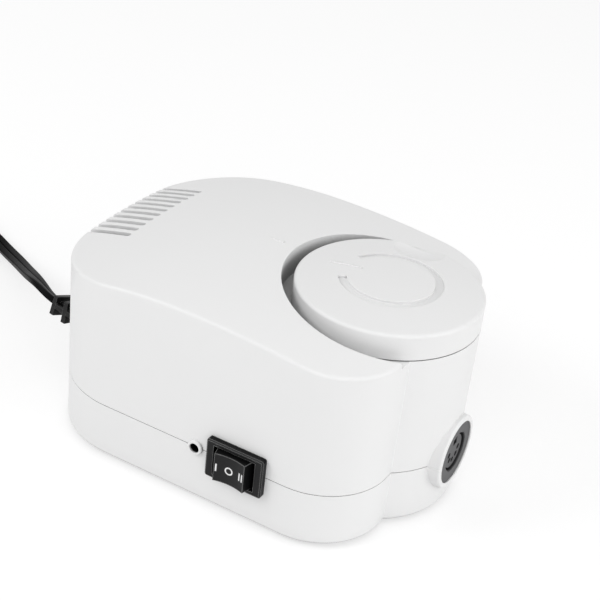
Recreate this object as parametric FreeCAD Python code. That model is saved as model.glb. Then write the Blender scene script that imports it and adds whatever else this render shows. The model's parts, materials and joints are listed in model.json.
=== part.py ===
import FreeCAD, Part
import math
import os

# Desk control box of a nail drill: two moulded shells, a speed knob over a round column,
# a rocker switch, a handpiece socket, a pedal jack, and the supply and speed board inside.
# Millimetres. The knob's axis is X = 0, Y = 0 while modelling, the table is Z = 0,
# +X points to the handpiece socket and -Y to the switch.

# Outline of the body, seen from above
body_width = 102.8
back_reach = 105.9
front_reach = 20.4
back_corner = 31.2
front_corner = 24.2
column_radius = 31.5

# Heights and crown of the body
foot_stand = 1.5
seam_height = 21.4
crest_height = 75.1
crest_back = 46.0
crown_back_radius = 205.0
crown_front_radius = 345.0
crown_side_radius = 271.0
top_edge_round = 1.2
bottom_edge_round = 1.2
shell_wall = 2.2
seam_groove_width = 0.24
seam_groove_depth = 0.4

# Speed knob
knob_radius = 31.5
knob_sink = 9.8
knob_skirt = 8.85
knob_dome = 2.8
knob_wall = 2.0
knob_edge_round = 1.3
knob_rest_angle = 185.0
knob_gap = 0.4
pocket_gap = 4.2
ring_outer = 17.4
ring_width = 2.8
ring_depth = 0.9
ring_open_angle = 55.0
pointer_inner = 10.5
pointer_outer = 21.8
pointer_width = 0.7
pointer_rise = 0.4
scoop_angle = 95.0
scoop_reach = 29.2
scoop_radius = 20.0
scoop_lift = 18.3
hub_radius = 5.5
knob_rib_count = 6
knob_rib_thickness = 1.2
knob_rib_depth = 3.5

# Air slots and the index mark on the crown
slot_count = 11
slot_pitch = 4.3
slot_width = 2.4
slot_length = 16.6
slot_drop = 23.0
index_gap = 4.7
index_length = 5.0
index_width = 0.9
index_rise = 0.3

# Speed potentiometer under the column's top
pot_body_radius = 8.2
pot_body_depth = 8.0
bush_radius = 3.5
bush_rise = 4.0
spindle_radius = 3.0
spindle_flat = 1.5
spindle_rise = 9.2
spindle_sink = 6.0
spindle_end_gap = 0.3
nut_across_flats = 10.0
nut_height = 2.0
washer_radius = 6.0
washer_height = 0.6
pot_tag_count = 3
pot_tag_pitch = 4.0
pot_tag_width = 1.2
pot_tag_length = 6.0
pot_tag_thickness = 0.5
pot_tag_reach = 2.0
pot_neck_width = 12.8
pot_neck_reach = 3.0
pot_neck_height = 2.0

# Rocker switch in the near wall
switch_x = -21.6
bezel_length = 21.4
bezel_height = 14.8
bezel_proud = 2.5
bezel_chamfer = 0.5
bezel_corner = 0.9
switch_body_length = 19.0
switch_body_height = 12.8
switch_body_depth = 13.5
window_length = 15.6
window_height = 11.4
rocker_height = 10.7
rocker_face_half = 5.65
rocker_base_half = 7.1
rocker_proud = 5.35
rocker_shoulder_depth = 0.6
rocker_hollow = 0.95
pivot_depth = 2.5
pivot_radius = 1.2
pivot_length = 0.8
rocker_gap = 0.35
mark_depth = 0.25
mark_height = 2.9
mark_bar = 0.45
mark_pair_gap = 0.65
mark_offset_left = 4.9
mark_offset_right = 4.3
mark_ring_bar = 0.42
mark_ring_shift = -0.4
blade_count = 3
blade_pitch = 7.0
blade_width = 4.8
blade_thickness = 0.8
blade_length = 7.5
blade_eye = 4.5

# Handpiece socket on the column's front
socket_ring_radius = 11.2
socket_face = 32.7
socket_ring_depth = 1.1
socket_barrel_radius = 9.6
socket_barrel_length = 16.0
socket_bore_radius = 7.3
socket_bore_depth = 10.0
sleeve_wall = 0.3
sleeve_setback = 0.2
insert_radius = 6.1
insert_setback = 0.7
contact_setback = 2.0
contact_tube_floor = 2.0
contact_arc = 180.0
contact_circle = 3.5
contact_count = 5
contact_bore = 1.1
contact_radius = 1.0
contact_tube_hole = 0.75
contact_tail = 6.0
key_width = 2.8
key_height = 2.8
key_reach = 2.7
collar_radius = 13.2
collar_proud = 0.4
collar_round = 0.7

# Pedal jack beside the switch
jack_x = -37.6
jack_bore = 1.8
jack_collar_radius = 2.8
jack_collar_proud = 1.1
jack_body_width = 6.4
jack_body_height = 7.0
jack_body_length = 13.0
jack_nose_radius = 2.05
jack_lip = 0.6
jack_tag_count = 3
jack_tag_pitch = 3.2
jack_tag_width = 1.6
jack_tag_length = 4.0
jack_tag_thickness = 0.4

# Transformer between the back wall and the board
core_shift = 2.85
core_width = 48.0
core_height = 40.0
core_stack = 20.0
core_leg = 16.0
core_window_width = 8.0
core_window_height = 24.0
bobbin_wall = 1.0
bobbin_flange = 1.2
winding_build = 6.2
bracket_thickness = 1.0
bracket_tab = 8.0
bracket_seat = 1.6
bracket_screw_offset = 4.0
bracket_screw_gap = 0.4
pin_count = 4
pin_pitch = 5.0
pin_radius = 0.5
pin_length = 4.0
pin_inset = 2.0

# Speed board between the transformer and the column
board_back = -46.0
board_front = 1.5
board_near = -26.0
board_far = 31.0
board_thickness = 1.6
board_lift = 7.0
board_hole_inset = 3.5
board_post_radius = 3.0
# Pieces on the board, placed from its back near corner unless named from another edge
main_can_radius = 6.5
main_can_height = 21.0
main_can_column = 14.5
main_can_row = 13.0
main_can_pitch = 14.5
small_can_radius = 4.0
small_can_height = 12.0
small_can_column = 25.5
small_can_row = 8.0
can_round_share = 0.12
sink_length = 26.0
sink_height = 30.0
sink_base = 2.0
sink_fin = 9.0
sink_fin_count = 6
sink_fin_thickness = 1.0
sink_column = 14.0
sink_from_far = 14.0
transistor_width = 10.0
transistor_height = 9.0
transistor_depth = 4.5
transistor_tab = 1.3
transistor_tab_height = 15.0
transistor_lift = 6.0
transistor_leg_pitch = 2.5
transistor_leg_width = 0.8
transistor_leg_thickness = 0.6
transistor_leg_depth = 2.8
transistor_screw_rise = 12.0
transistor_screw_head = 2.4
transistor_screw_depth = 3.4
axial_span = 10.0
axial_leg_inset = 0.5
axial_leg_step = 0.05
axial_lift = 0.45
diode_count = 4
diode_pitch = 3.8
diode_column = 24.0
diode_row = 22.0
diode_radius = 1.4
diode_length = 5.4
diode_wire = 0.4
resistor_count = 5
resistor_pitch = 3.2
resistor_column = 23.5
resistor_row = 33.0
resistor_radius = 1.2
resistor_length = 6.4
resistor_wire = 0.35
fuse_radius = 2.6
fuse_length = 20.0
fuse_column = 5.0
fuse_from_far = 16.0
fuse_lift = 6.0
fuse_cap_length = 5.0
fuse_glass_step = 0.3
clip_wall = 0.6
clip_width = 3.0
clip_rise = 1.4
clip_inset = 1.0
clip_lip = 0.3
header_height = 7.0
header_width = 5.8
header_wall = 0.8
header_floor = 1.5
header_pitch = 2.5
header_end = 1.2
header_from_front = 7.0
output_header_row = 14.0
output_header_ways = 5
switch_header_column = 33.5
switch_header_row = 6.5
switch_header_ways = 3
speed_header_from_far = 22.0
speed_header_ways = 3

# Fasteners and feet
case_screw_back_inset = 11.9
case_screw_back_side = 23.4
case_screw_front_inset = 14.4
case_screw_front_side = 13.4
case_screw_radius = 1.5
case_screw_head_radius = 2.9
case_screw_head_height = 2.2
case_screw_head_sink = 0.4
case_screw_cross_length = 3.8
case_screw_cross_width = 0.8
case_screw_cross_depth = 0.8
case_screw_length = 22.0
boss_radius = 4.2
foot_radius = 5.0
foot_recess = 0.8
foot_round = 0.4
foot_back_inset = 26.9
foot_back_side = 11.4
foot_front_inset = 28.4
foot_front_side = 9.4
board_screw_radius = 1.25
board_screw_head = 2.4
board_screw_head_height = 1.6
board_screw_slot = 0.6
board_screw_length = 7.0
tongue_height = 2.0
tongue_depth = 3.0
tongue_thickness = 1.0
tongue_keep_out = 12.0

# Clearances between fitted pieces
slip = 0.1
running = 0.05
thread_gap = 0.02

# Working lengths: cutters run past a face by the margin, joined pieces sink in by the overlap
margin = 1.0
overlap = 0.5
near_enough = 0.01
crown_spare = 20.0
crown_half_sweep = 25.0
wide = 200.0

# Supply cord, its strain relief, coil and plug
cord_diameter = 5.4
relief_y = -11.6
relief_gap = 0.3
relief_flange_width = 11.0
relief_flange_height = 10.0
relief_flange_thickness = 2.0
relief_neck_width = 6.6
relief_neck_height = 7.0
relief_plate_count = 6
relief_plate_width = 7.6
relief_plate_height = 8.8
relief_plate_taper = 0.4
relief_plate_thickness = 1.6
relief_length = 20.0
relief_turn = 14.0
relief_twist = 16.0
relief_core_width = 4.8
relief_core_height = 4.2
relief_link_width = 1.6
relief_link_height = 1.6
relief_link_rise = -0.3
cord_lead = 10.6
cord_route = [
    (-147.5, 1.9, 18.6),
    (-161.0, 12.5, 13.0),
    (-176.0, 23.9, 7.6),
    (-190.0, 33.2, 3.6),
    (-204.0, 40.6, cord_diameter / 2),
    (-219.0, 46.0, cord_diameter / 2),
    (-231.0, 46.0, cord_diameter / 2),
]
coil_turns_in = 2.5
coil_climb = 0.5
coil_turns_out = 2.25
coil_inner_radius = 23.5
coil_pitch = 6.1
coil_layer_rise = 6.0
coil_lead_in = 5.0
coil_lead_out = 12.0
coil_steps = 4
run_share = 0.45
plug_width = 24.0
plug_waist = 13.0
plug_length = 33.0
plug_flange_length = 11.0
plug_grip_length = 11.0
plug_edge_round = 1.2
plug_boot_length = 14.0
plug_boot_radius = 3.2
plug_boot_end_radius = 4.8
plug_pin_spacing = 19.0
plug_pin_radius = 2.0
plug_pin_length = 19.0
plug_pin_root = 6.0
plug_pin_neck_radius = 1.6
plug_pin_neck = 1.0
plug_pin_round = 0.9

# Leads inside the box
lead_radius = 0.8
lead_run = 4.0
lead_split = 1.5
lead_drop = 11.5
lead_wall_gap = 6.2
lead_boss_gap = 3.2
lead_boss_side = 5.6
lead_rise = 5.0
lead_hold = 3.0
lead_fan = 2.0

# Places that follow from the sizes above
half_width = body_width / 2
near_wall = -half_width
shell_bottom = foot_stand
floor_top = shell_bottom + shell_wall
knob_bottom = crest_height - knob_sink
knob_edge = knob_bottom + knob_skirt
knob_crest = knob_edge + knob_dome
pocket_floor = knob_bottom - knob_gap
pocket_radius = knob_radius + pocket_gap
pocket_under = pocket_floor - shell_wall
slot_start = back_reach - slot_length
index_inner = pocket_radius + index_gap
index_outer = index_inner + index_length
board_bottom = floor_top + board_lift
board_top = board_bottom + board_thickness
switch_face = near_wall - bezel_proud
pivot_y = near_wall + pivot_depth
rocker_sweep = math.hypot(rocker_base_half, pivot_depth - rocker_shoulder_depth)
core_x = (board_back - back_reach + shell_wall) / 2 + core_shift
core_bottom = floor_top + bracket_seat
core_middle = core_bottom + core_height / 2
case_screw_back_x = case_screw_back_inset - back_reach
case_screw_back_y = half_width - case_screw_back_side
case_screw_front_x = front_reach - case_screw_front_inset
case_screw_front_y = half_width - case_screw_front_side
foot_back_x = foot_back_inset - back_reach
foot_back_y = half_width - foot_back_side
foot_front_x = front_reach - foot_front_inset
foot_front_y = half_width - foot_front_side
relief_start = -back_reach - relief_gap
coil_outer_radius = coil_inner_radius + coil_pitch * coil_turns_in
coil_x = cord_route[-1][0] - coil_lead_in
coil_y = cord_route[-1][1] - coil_outer_radius
coil_low = cord_route[-1][2]
coil_high = coil_low + coil_layer_rise
coil_turns = coil_turns_in + coil_climb + coil_turns_out
coil_end_heading = 180 + 360 * coil_turns
collar_face = socket_face + collar_proud

# The exported frame: middle of the box around the machine without its cord, on the table
frame_x = (back_reach - collar_face) / 2
frame_y = rocker_proud / 2

up = FreeCAD.Vector(0, 0, 1)
forward = FreeCAD.Vector(1, 0, 0)
inward = FreeCAD.Vector(0, 1, 0)


def point(x, y, z):
    return FreeCAD.Vector(x, y, z)


def block(x0, x1, y0, y1, z0, z1):
    return Part.makeBox(x1 - x0, y1 - y0, z1 - z0, point(x0, y0, z0))


def post(x, y, z0, z1, radius):
    return Part.makeCylinder(radius, z1 - z0, point(x, y, z0), up)


def bar(x0, x1, y, z, radius):
    return Part.makeCylinder(radius, x1 - x0, point(x0, y, z), forward)


def rod(x, y0, y1, z, radius):
    return Part.makeCylinder(radius, y1 - y0, point(x, y0, z), inward)


def join(shapes):
    return shapes[0].multiFuse(shapes[1:]).removeSplitter()


def group(shapes):
    return Part.makeCompound(shapes)


def prism(corners, direction):
    return Part.Face(Part.makePolygon(corners + corners[:1])).extrude(direction)


def rounded_outline(inset, z):
    # rounded rectangle of the body, drawn inset from the outer wall
    back = inset - back_reach
    front = front_reach - inset
    side = half_width - inset
    back_round = back_corner - inset
    front_round = front_corner - inset
    corners = [
        (back + back_round, -side, front - front_round, -side),
        (front, -side + front_round, front, side - front_round),
        (front - front_round, side, back + back_round, side),
        (back, side - back_round, back, -side + back_round),
    ]
    centres = [
        (front - front_round, -side + front_round, front_round, -45),
        (front - front_round, side - front_round, front_round, 45),
        (back + back_round, side - back_round, back_round, 135),
        (back + back_round, -side + back_round, back_round, 225),
    ]
    edges = []
    for run, corner in zip(corners, centres):
        x0, y0, x1, y1 = run
        edges.append(Part.LineSegment(point(x0, y0, z), point(x1, y1, z)).toShape())
        cx, cy, radius, middle = corner
        arc = [
            point(cx + radius * math.cos(math.radians(a)), cy + radius * math.sin(math.radians(a)), z)
            for a in (middle - 45, middle, middle + 45)
        ]
        edges.append(Part.Arc(*arc).toShape())
    return Part.Face(Part.Wire(edges))


def outline_prism(inset, z0, z1):
    return rounded_outline(inset, z0).extrude(up * (z1 - z0))


def column(inset, z0, z1):
    return post(0, 0, z0, z1, column_radius - inset)


def crown_under(drop):
    # everything below the crowned top: behind the crest it is turned about an axis along X,
    # in front of it the cross arc is turned about an axis along Y
    top = crest_height - drop
    side_radius = crown_side_radius - drop
    side_axis = top - side_radius
    back_radius = crown_back_radius - drop
    back_edge = -back_reach - crown_spare
    offset = back_edge + crest_back
    half_offset = offset / 2
    low = side_axis + side_radius / 3
    back_low = point(back_edge, 0, top - back_radius + math.sqrt(back_radius ** 2 - offset ** 2))
    back_middle = point(
        half_offset - crest_back, 0, top - back_radius + math.sqrt(back_radius ** 2 - half_offset ** 2),
    )
    crest = point(-crest_back, 0, top)
    back_profile = Part.Face(Part.Wire([
        Part.Arc(back_low, back_middle, crest).toShape(),
        Part.LineSegment(crest, point(-crest_back, 0, low)).toShape(),
        Part.LineSegment(point(-crest_back, 0, low), point(back_edge, 0, low)).toShape(),
        Part.LineSegment(point(back_edge, 0, low), back_low).toShape(),
    ]))
    back_profile.rotate(point(0, 0, side_axis), forward, -crown_half_sweep)
    back = back_profile.revolve(point(0, 0, side_axis), forward, 2 * crown_half_sweep)

    front_radius = crown_front_radius - drop
    front_axis = top - front_radius
    reach = half_width + crown_spare
    side_high = side_axis + math.sqrt(side_radius ** 2 - reach ** 2)
    front_profile = Part.Face(Part.Wire([
        Part.Arc(
            point(-crest_back, -reach, side_high), crest, point(-crest_back, reach, side_high),
        ).toShape(),
        Part.LineSegment(point(-crest_back, reach, side_high), point(-crest_back, reach, low)).toShape(),
        Part.LineSegment(point(-crest_back, reach, low), point(-crest_back, -reach, low)).toShape(),
        Part.LineSegment(point(-crest_back, -reach, low), point(-crest_back, -reach, side_high)).toShape(),
    ]))
    turn = math.degrees(math.asin((column_radius + crest_back + crown_spare) / front_radius))
    front = front_profile.revolve(point(-crest_back, 0, front_axis), inward, turn)
    return back.fuse(front)


def seam_openings():
    # holes that both shells share, each half in one shell
    z = seam_height
    switch_hole = block(
        switch_x - switch_body_length / 2 - slip,
        switch_x + switch_body_length / 2 + slip,
        near_wall - margin,
        near_wall + shell_wall + margin,
        z - switch_body_height / 2 - slip,
        z + switch_body_height / 2 + slip,
    )
    barrel_hole = bar(column_radius / 2, collar_face + margin, 0, z, socket_barrel_radius + slip)
    ring_seat = bar(socket_face - socket_ring_depth, collar_face + margin, 0, z, socket_ring_radius + slip)
    jack_hole = rod(jack_x, near_wall - jack_collar_proud - margin, near_wall, z, jack_bore)
    jack_seat = rod(jack_x, jack_nose_front(), near_wall + shell_wall + margin, z, jack_nose_radius + slip)
    relief_hole = block(
        -back_reach - margin,
        -back_reach + shell_wall + margin,
        relief_y - relief_neck_width / 2 - slip,
        relief_y + relief_neck_width / 2 + slip,
        z - relief_neck_height / 2 - slip,
        z + relief_neck_height / 2 + slip,
    )
    return [switch_hole, barrel_hole, ring_seat, jack_hole, jack_seat, relief_hole]


def seam_groove():
    # fine groove round the outside where the two shells meet
    low = seam_height - seam_groove_width / 2
    high = seam_height + seam_groove_width / 2
    outer = outline_prism(-margin, low, high).fuse(column(-margin, low, high))
    inner = outline_prism(seam_groove_depth, low - margin, high + margin)
    return outer.cut(inner.fuse(column(seam_groove_depth, low - margin, high + margin)))


def seam_collars():
    # raised rings round the handpiece socket and the pedal jack
    z = seam_height
    collar_back = math.sqrt((column_radius - shell_wall) ** 2 - collar_radius ** 2)
    socket_collar = bar(collar_back, collar_face, 0, z, collar_radius)
    front_edges = [e for e in socket_collar.Edges
                   if e.Closed and abs(e.CenterOfMass.x - collar_face) < near_enough]
    socket_collar = socket_collar.makeFillet(collar_round, front_edges)
    jack_front = near_wall - jack_collar_proud
    jack_collar = rod(jack_x, jack_front, near_wall + shell_wall, z, jack_collar_radius)
    jack_edges = [e for e in jack_collar.Edges
                  if e.Closed and abs(e.CenterOfMass.y - jack_front) < near_enough]
    jack_collar = jack_collar.makeFillet(jack_collar_proud / 2, jack_edges)
    return [socket_collar, jack_collar]


def case_screw_places():
    back = [(case_screw_back_x, side * case_screw_back_y) for side in (-1, 1)]
    front = [(case_screw_front_x, side * case_screw_front_y) for side in (-1, 1)]
    return back + front


def foot_places():
    back = [(foot_back_x, side * foot_back_y) for side in (-1, 1)]
    front = [(foot_front_x, side * foot_front_y) for side in (-1, 1)]
    return back + front


def board_post_places():
    xs = (board_back + board_hole_inset, board_front - board_hole_inset)
    ys = (board_near + board_hole_inset, board_far - board_hole_inset)
    return [(x, y) for x in xs for y in ys]


def bracket_screw_places():
    reach = core_width / 2 + bracket_thickness + bracket_screw_offset
    return [(core_x, -reach), (core_x, reach)]


def upper_shell():
    high = crest_height + crown_spare
    outside = outline_prism(0, seam_height, high).common(crown_under(0))
    top_edges = [e for e in outside.Edges if e.BoundBox.ZMin > (seam_height + crest_height) / 2]
    inner_face = rounded_outline(overlap, 0)
    top_edges = [e for e in top_edges if on_outline(e, inner_face)]
    outside = outside.makeFillet(top_edge_round, top_edges)
    inside = outline_prism(shell_wall, seam_height - margin, high).common(crown_under(shell_wall))
    cup = post(0, 0, pocket_under, high, pocket_radius + shell_wall)
    inside = inside.cut(cup)
    hollow_column = column(shell_wall, seam_height - margin, pocket_under)
    shell = outside.fuse(column(0, seam_height, pocket_floor)).cut([inside, hollow_column, seam_groove()])
    bosses = [
        post(x, y, seam_height, crest_height, boss_radius).common(crown_under(shell_wall / 2))
        for x, y in case_screw_places()
    ]
    shell = shell.multiFuse(bosses)
    collars = [ring.common(above_seam()) for ring in seam_collars()]
    shell = shell.multiFuse(collars)
    mark = block(
        -index_outer, -index_inner, -index_width / 2, index_width / 2,
        crest_height - shell_wall / 2, crest_height + index_rise,
    )
    shell = shell.fuse(mark)
    cutters = [post(0, 0, pocket_floor, high, pocket_radius)]
    cutters.append(post(0, 0, pocket_under - margin, high, bush_radius + slip))
    pilot_top = shell_bottom + case_screw_head_height + case_screw_length + margin
    for x, y in case_screw_places():
        cutters.append(post(x, y, seam_height - margin, pilot_top, case_screw_radius + thread_gap))
    return shell.cut(cutters + air_slots() + seam_openings()).removeSplitter()


def on_outline(edge, inner_face):
    # true for the edges between the crown and the upright wall
    if len(edge.Vertexes) < 2:
        return False
    middle = edge.valueAt((edge.FirstParameter + edge.LastParameter) / 2)
    return not inner_face.isInside(point(middle.x, middle.y, 0), near_enough, True)


def air_slots():
    cutters = []
    low = crest_height - slot_drop
    for index in range(slot_count):
        y = (index - (slot_count - 1) / 2) * slot_pitch
        half = slot_width / 2
        cutters.append(block(-back_reach - margin, -slot_start, y - half, y + half, low,
                             crest_height + margin))
        cutters.append(post(-slot_start, y, low, crest_height + margin, half))
    return cutters


def above_seam():
    return block(-wide, wide, -wide, wide, seam_height, wide)


def below_seam():
    return block(-wide, wide, -wide, wide, shell_bottom, seam_height)


def base_shell():
    outside = outline_prism(0, shell_bottom, seam_height).fuse(column(0, shell_bottom, seam_height))
    outside = outside.removeSplitter()
    low_edges = [e for e in outside.Edges if e.BoundBox.ZMax < shell_bottom + near_enough]
    outside = outside.makeFillet(bottom_edge_round, low_edges)
    inside = outline_prism(shell_wall, floor_top, seam_height + margin)
    inside = inside.fuse(column(shell_wall, floor_top, seam_height + margin))
    shell = outside.cut([inside, seam_groove()])
    added = [post(x, y, floor_top - margin, seam_height, boss_radius) for x, y in case_screw_places()]
    added += [post(x, y, floor_top - margin, board_bottom, board_post_radius) for x, y in board_post_places()]
    added += [post(x, y, floor_top - margin, core_bottom - bracket_thickness, board_post_radius)
              for x, y in bracket_screw_places()]
    added += [ring.common(below_seam()) for ring in seam_collars()]
    added.append(seam_tongue())
    shell = shell.multiFuse(added)
    cutters = seam_openings()
    for x, y in case_screw_places():
        cutters.append(post(x, y, shell_bottom - margin, seam_height + margin, case_screw_radius + slip))
        cutters.append(post(x, y, shell_bottom - margin, shell_bottom + case_screw_head_height,
                            case_screw_head_radius + slip))
    for x, y in board_post_places() + bracket_screw_places():
        cutters.append(post(x, y, floor_top, board_bottom + margin, board_screw_radius + thread_gap))
    for x, y in foot_places():
        cutters.append(post(x, y, shell_bottom - margin, shell_bottom + foot_recess, foot_radius + slip))
    return shell.cut(cutters).removeSplitter()


def seam_tongue():
    # a rib along the inside of the split line that locates the upper shell
    low = seam_height - tongue_depth
    high = seam_height + tongue_height
    outer = shell_wall + slip
    inner = outer + tongue_thickness
    core = outline_prism(inner, low - margin, high + margin)
    rib = outline_prism(outer, low, high).fuse(outline_prism(shell_wall / 2, low, seam_height)).cut(core)
    front = block(0, column_radius, -column_radius, column_radius, low - margin, high + margin)
    keep_out = [
        column(0, low - margin, high + margin),
        front,
        block(jack_x - jack_body_width, switch_x + bezel_length / 2 + shell_wall,
              near_wall, near_wall + tongue_keep_out, low - margin, high + margin),
        block(-back_reach, -back_reach + tongue_keep_out,
              relief_y - relief_flange_width, relief_y + relief_flange_width, low - margin, high + margin),
    ]
    keep_out += [post(x, y, low - margin, high + margin, boss_radius + slip) for x, y in case_screw_places()]
    return rib.cut(keep_out)


def dome(z_edge, rise, radius, z0):
    # solid under a shallow spherical top whose rim is at z_edge
    ball_radius = (radius * radius + rise * rise) / (2 * rise)
    ball = Part.makeSphere(ball_radius, point(0, 0, z_edge + rise - ball_radius))
    return post(0, 0, z0, z_edge + rise + margin, radius).common(ball)


def speed_knob():
    outer = dome(knob_edge, knob_dome, knob_radius, knob_bottom)
    rim = [e for e in outer.Edges if e.Closed and abs(e.BoundBox.ZMin - knob_edge) < near_enough]
    outer = outer.makeFillet(knob_edge_round, rim)
    inner_radius = knob_radius - knob_wall
    hollow = dome(knob_edge - knob_wall, knob_dome, inner_radius, knob_bottom - margin)
    hub_bottom = pocket_floor + bush_rise + knob_gap
    hub = post(0, 0, hub_bottom, knob_crest, hub_radius)
    ribs = []
    for index in range(knob_rib_count):
        rib = block(0, inner_radius + overlap, -knob_rib_thickness / 2, knob_rib_thickness / 2,
                    knob_edge - knob_rib_depth, knob_crest)
        rib.rotate(point(0, 0, 0), up, index * 360 / knob_rib_count + knob_rest_angle)
        ribs.append(rib)
    scoop = scoop_ball(0)
    scoop_wall = scoop_ball(knob_wall)
    stiff = join([hub] + ribs).common(outer)
    body = outer.cut(hollow).multiFuse([stiff, scoop_wall.common(outer)])
    body = body.cut([scoop, ring_groove(), spindle_bore()])
    return body.fuse(knob_pointer(outer))


def scoop_ball(extra):
    angle = math.radians(scoop_angle)
    centre = point(scoop_reach * math.cos(angle), scoop_reach * math.sin(angle), knob_edge + scoop_lift)
    return Part.makeSphere(scoop_radius + extra, centre)


def ring_groove():
    # C-shaped groove in the top, open towards the pointer
    lifted = dome(knob_edge - ring_depth, knob_dome, knob_radius, knob_bottom)
    band = post(0, 0, knob_edge, knob_crest + margin, ring_outer)
    band = band.cut(post(0, 0, knob_bottom, knob_crest + 2 * margin, ring_outer - ring_width))
    band = band.cut(lifted)
    start = knob_rest_angle + ring_open_angle / 2
    sweep = 360 - ring_open_angle
    wedge = Part.Face(Part.makePolygon([
        point(0, 0, knob_bottom), point(knob_radius, 0, knob_bottom),
        point(knob_radius, 0, knob_crest + margin), point(0, 0, knob_crest + margin),
        point(0, 0, knob_bottom),
    ])).revolve(point(0, 0, 0), up, sweep)
    wedge.rotate(point(0, 0, 0), up, start)
    return band.common(wedge)


def knob_pointer(outer):
    raised = outer.copy()
    raised.translate(up * pointer_rise)
    line = block(pointer_inner, pointer_outer, -pointer_width / 2, pointer_width / 2,
                 knob_edge - overlap, knob_crest + margin)
    line.rotate(point(0, 0, 0), up, knob_rest_angle)
    return line.common(raised)


def spindle_section(radius, flat, z0, z1):
    # round with one flat on the side away from the pointer
    shaft = post(0, 0, z0, z1, radius)
    cutter = block(flat, 2 * radius, -2 * radius, 2 * radius, z0 - margin, z1 + margin)
    cutter.rotate(point(0, 0, 0), up, knob_rest_angle + 180)
    return shaft.cut(cutter)


def spindle_bore():
    return spindle_section(spindle_radius + thread_gap, spindle_flat + thread_gap,
                           pocket_floor, spindle_top() + slip)


def spindle_top():
    return pocket_floor + spindle_rise


def potentiometer_spindle():
    low = pocket_under - spindle_sink
    round_part = post(0, 0, low, pocket_floor + bush_rise, spindle_radius)
    return round_part.fuse(
        spindle_section(spindle_radius, spindle_flat, pocket_floor + bush_rise - overlap, spindle_top())
    ).removeSplitter()


def potentiometer_body():
    low = pocket_under - pot_body_depth
    case = post(0, 0, low, pocket_under, pot_body_radius)
    neck = block(-pot_neck_width / 2, pot_neck_width / 2, -pot_body_radius - pot_neck_reach, 0,
                 low, low + pot_neck_height)
    bush = post(0, 0, pocket_under - overlap, pocket_floor + bush_rise, bush_radius)
    bore_low = pocket_under - spindle_sink - spindle_end_gap
    bore = post(0, 0, bore_low, pocket_floor + bush_rise + margin, spindle_radius + running)
    return join([case, neck, bush]).cut(bore)


def potentiometer_tags():
    low = pocket_under - pot_body_depth
    y = -pot_body_radius - pot_tag_reach
    tags = []
    for index in range(pot_tag_count):
        x = (index - (pot_tag_count - 1) / 2) * pot_tag_pitch
        tags.append(block(x - pot_tag_width / 2, x + pot_tag_width / 2, y, y + pot_tag_thickness,
                          low - pot_tag_length, low))
    return group(tags)


def potentiometer_washer():
    disc = post(0, 0, pocket_floor, pocket_floor + washer_height, washer_radius)
    return disc.cut(post(0, 0, pocket_floor - margin, knob_crest, bush_radius + thread_gap))


def potentiometer_nut():
    low = pocket_floor + washer_height
    corner = nut_across_flats / math.sqrt(3)
    ring = [point(corner * math.cos(math.radians(60 * k)), corner * math.sin(math.radians(60 * k)), low)
            for k in range(6)]
    return prism(ring, up * nut_height).cut(post(0, 0, low - margin, knob_crest, bush_radius + thread_gap))


def switch_housing():
    z = seam_height
    bezel = block(switch_x - bezel_length / 2, switch_x + bezel_length / 2, switch_face, near_wall,
                  z - bezel_height / 2, z + bezel_height / 2)
    bezel = bezel.makeFillet(bezel_corner, [e for e in bezel.Edges if e.BoundBox.YLength > bezel_proud / 2])
    front = [e for e in bezel.Edges if abs(e.BoundBox.YMax - switch_face) < near_enough]
    bezel = bezel.makeChamfer(bezel_chamfer, front)
    back = near_wall + switch_body_depth
    body = block(switch_x - switch_body_length / 2, switch_x + switch_body_length / 2,
                 near_wall - overlap, back, z - switch_body_height / 2, z + switch_body_height / 2)
    window = block(switch_x - window_length / 2, switch_x + window_length / 2, switch_face - margin, pivot_y,
                   z - window_height / 2, z + window_height / 2)
    swing = post(switch_x, pivot_y, z - window_height / 2, z + window_height / 2, rocker_sweep + rocker_gap)
    pivots = post(switch_x, pivot_y, z - window_height / 2 - margin, z + window_height / 2 + margin,
                  pivot_radius + running)
    return bezel.fuse(body).cut([window, swing, pivots]).removeSplitter()


def rocker_face_arc(offset):
    # cylinder in front of the rocker that hollows its face
    half = rocker_face_half
    radius = (half * half + rocker_hollow * rocker_hollow) / (2 * rocker_hollow)
    centre_y = near_wall - rocker_proud + rocker_hollow - radius
    z = seam_height
    return post(switch_x, centre_y, z - bezel_height, z + bezel_height, radius + offset)


def rocker_block():
    z0 = seam_height - rocker_height / 2
    face = near_wall - rocker_proud
    shoulder = near_wall + rocker_shoulder_depth
    corners = [
        point(switch_x - rocker_face_half, face, z0),
        point(switch_x + rocker_face_half, face, z0),
        point(switch_x + rocker_base_half, shoulder, z0),
        point(switch_x, pivot_y + rocker_sweep / 2, z0),
        point(switch_x - rocker_base_half, shoulder, z0),
    ]
    upper = prism(corners, up * rocker_height)
    round_back = post(switch_x, pivot_y, z0, z0 + rocker_height, rocker_sweep)
    front_half = block(switch_x - bezel_length, switch_x + bezel_length, pivot_y - 2 * rocker_sweep, shoulder,
                       z0 - margin, z0 + rocker_height + margin)
    return upper.fuse(round_back.cut(front_half)).removeSplitter().cut(rocker_face_arc(0))


def rocker_mark_blanks():
    z = seam_height
    y0 = near_wall - rocker_proud - margin
    y1 = near_wall + rocker_shoulder_depth

    def upright(x):
        return block(x - mark_bar / 2, x + mark_bar / 2, y0, y1, z - mark_height / 2, z + mark_height / 2)

    ring_x = switch_x + mark_ring_shift
    ring = rod(ring_x, y0, y1, z, mark_height / 2)
    ring = ring.cut(rod(ring_x, y0 - margin, y1 + margin, z, mark_height / 2 - mark_ring_bar))
    step = (mark_bar + mark_pair_gap) / 2
    return [
        upright(switch_x - mark_offset_left),
        ring,
        upright(switch_x + mark_offset_right - step),
        upright(switch_x + mark_offset_right + step),
    ]


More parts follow.
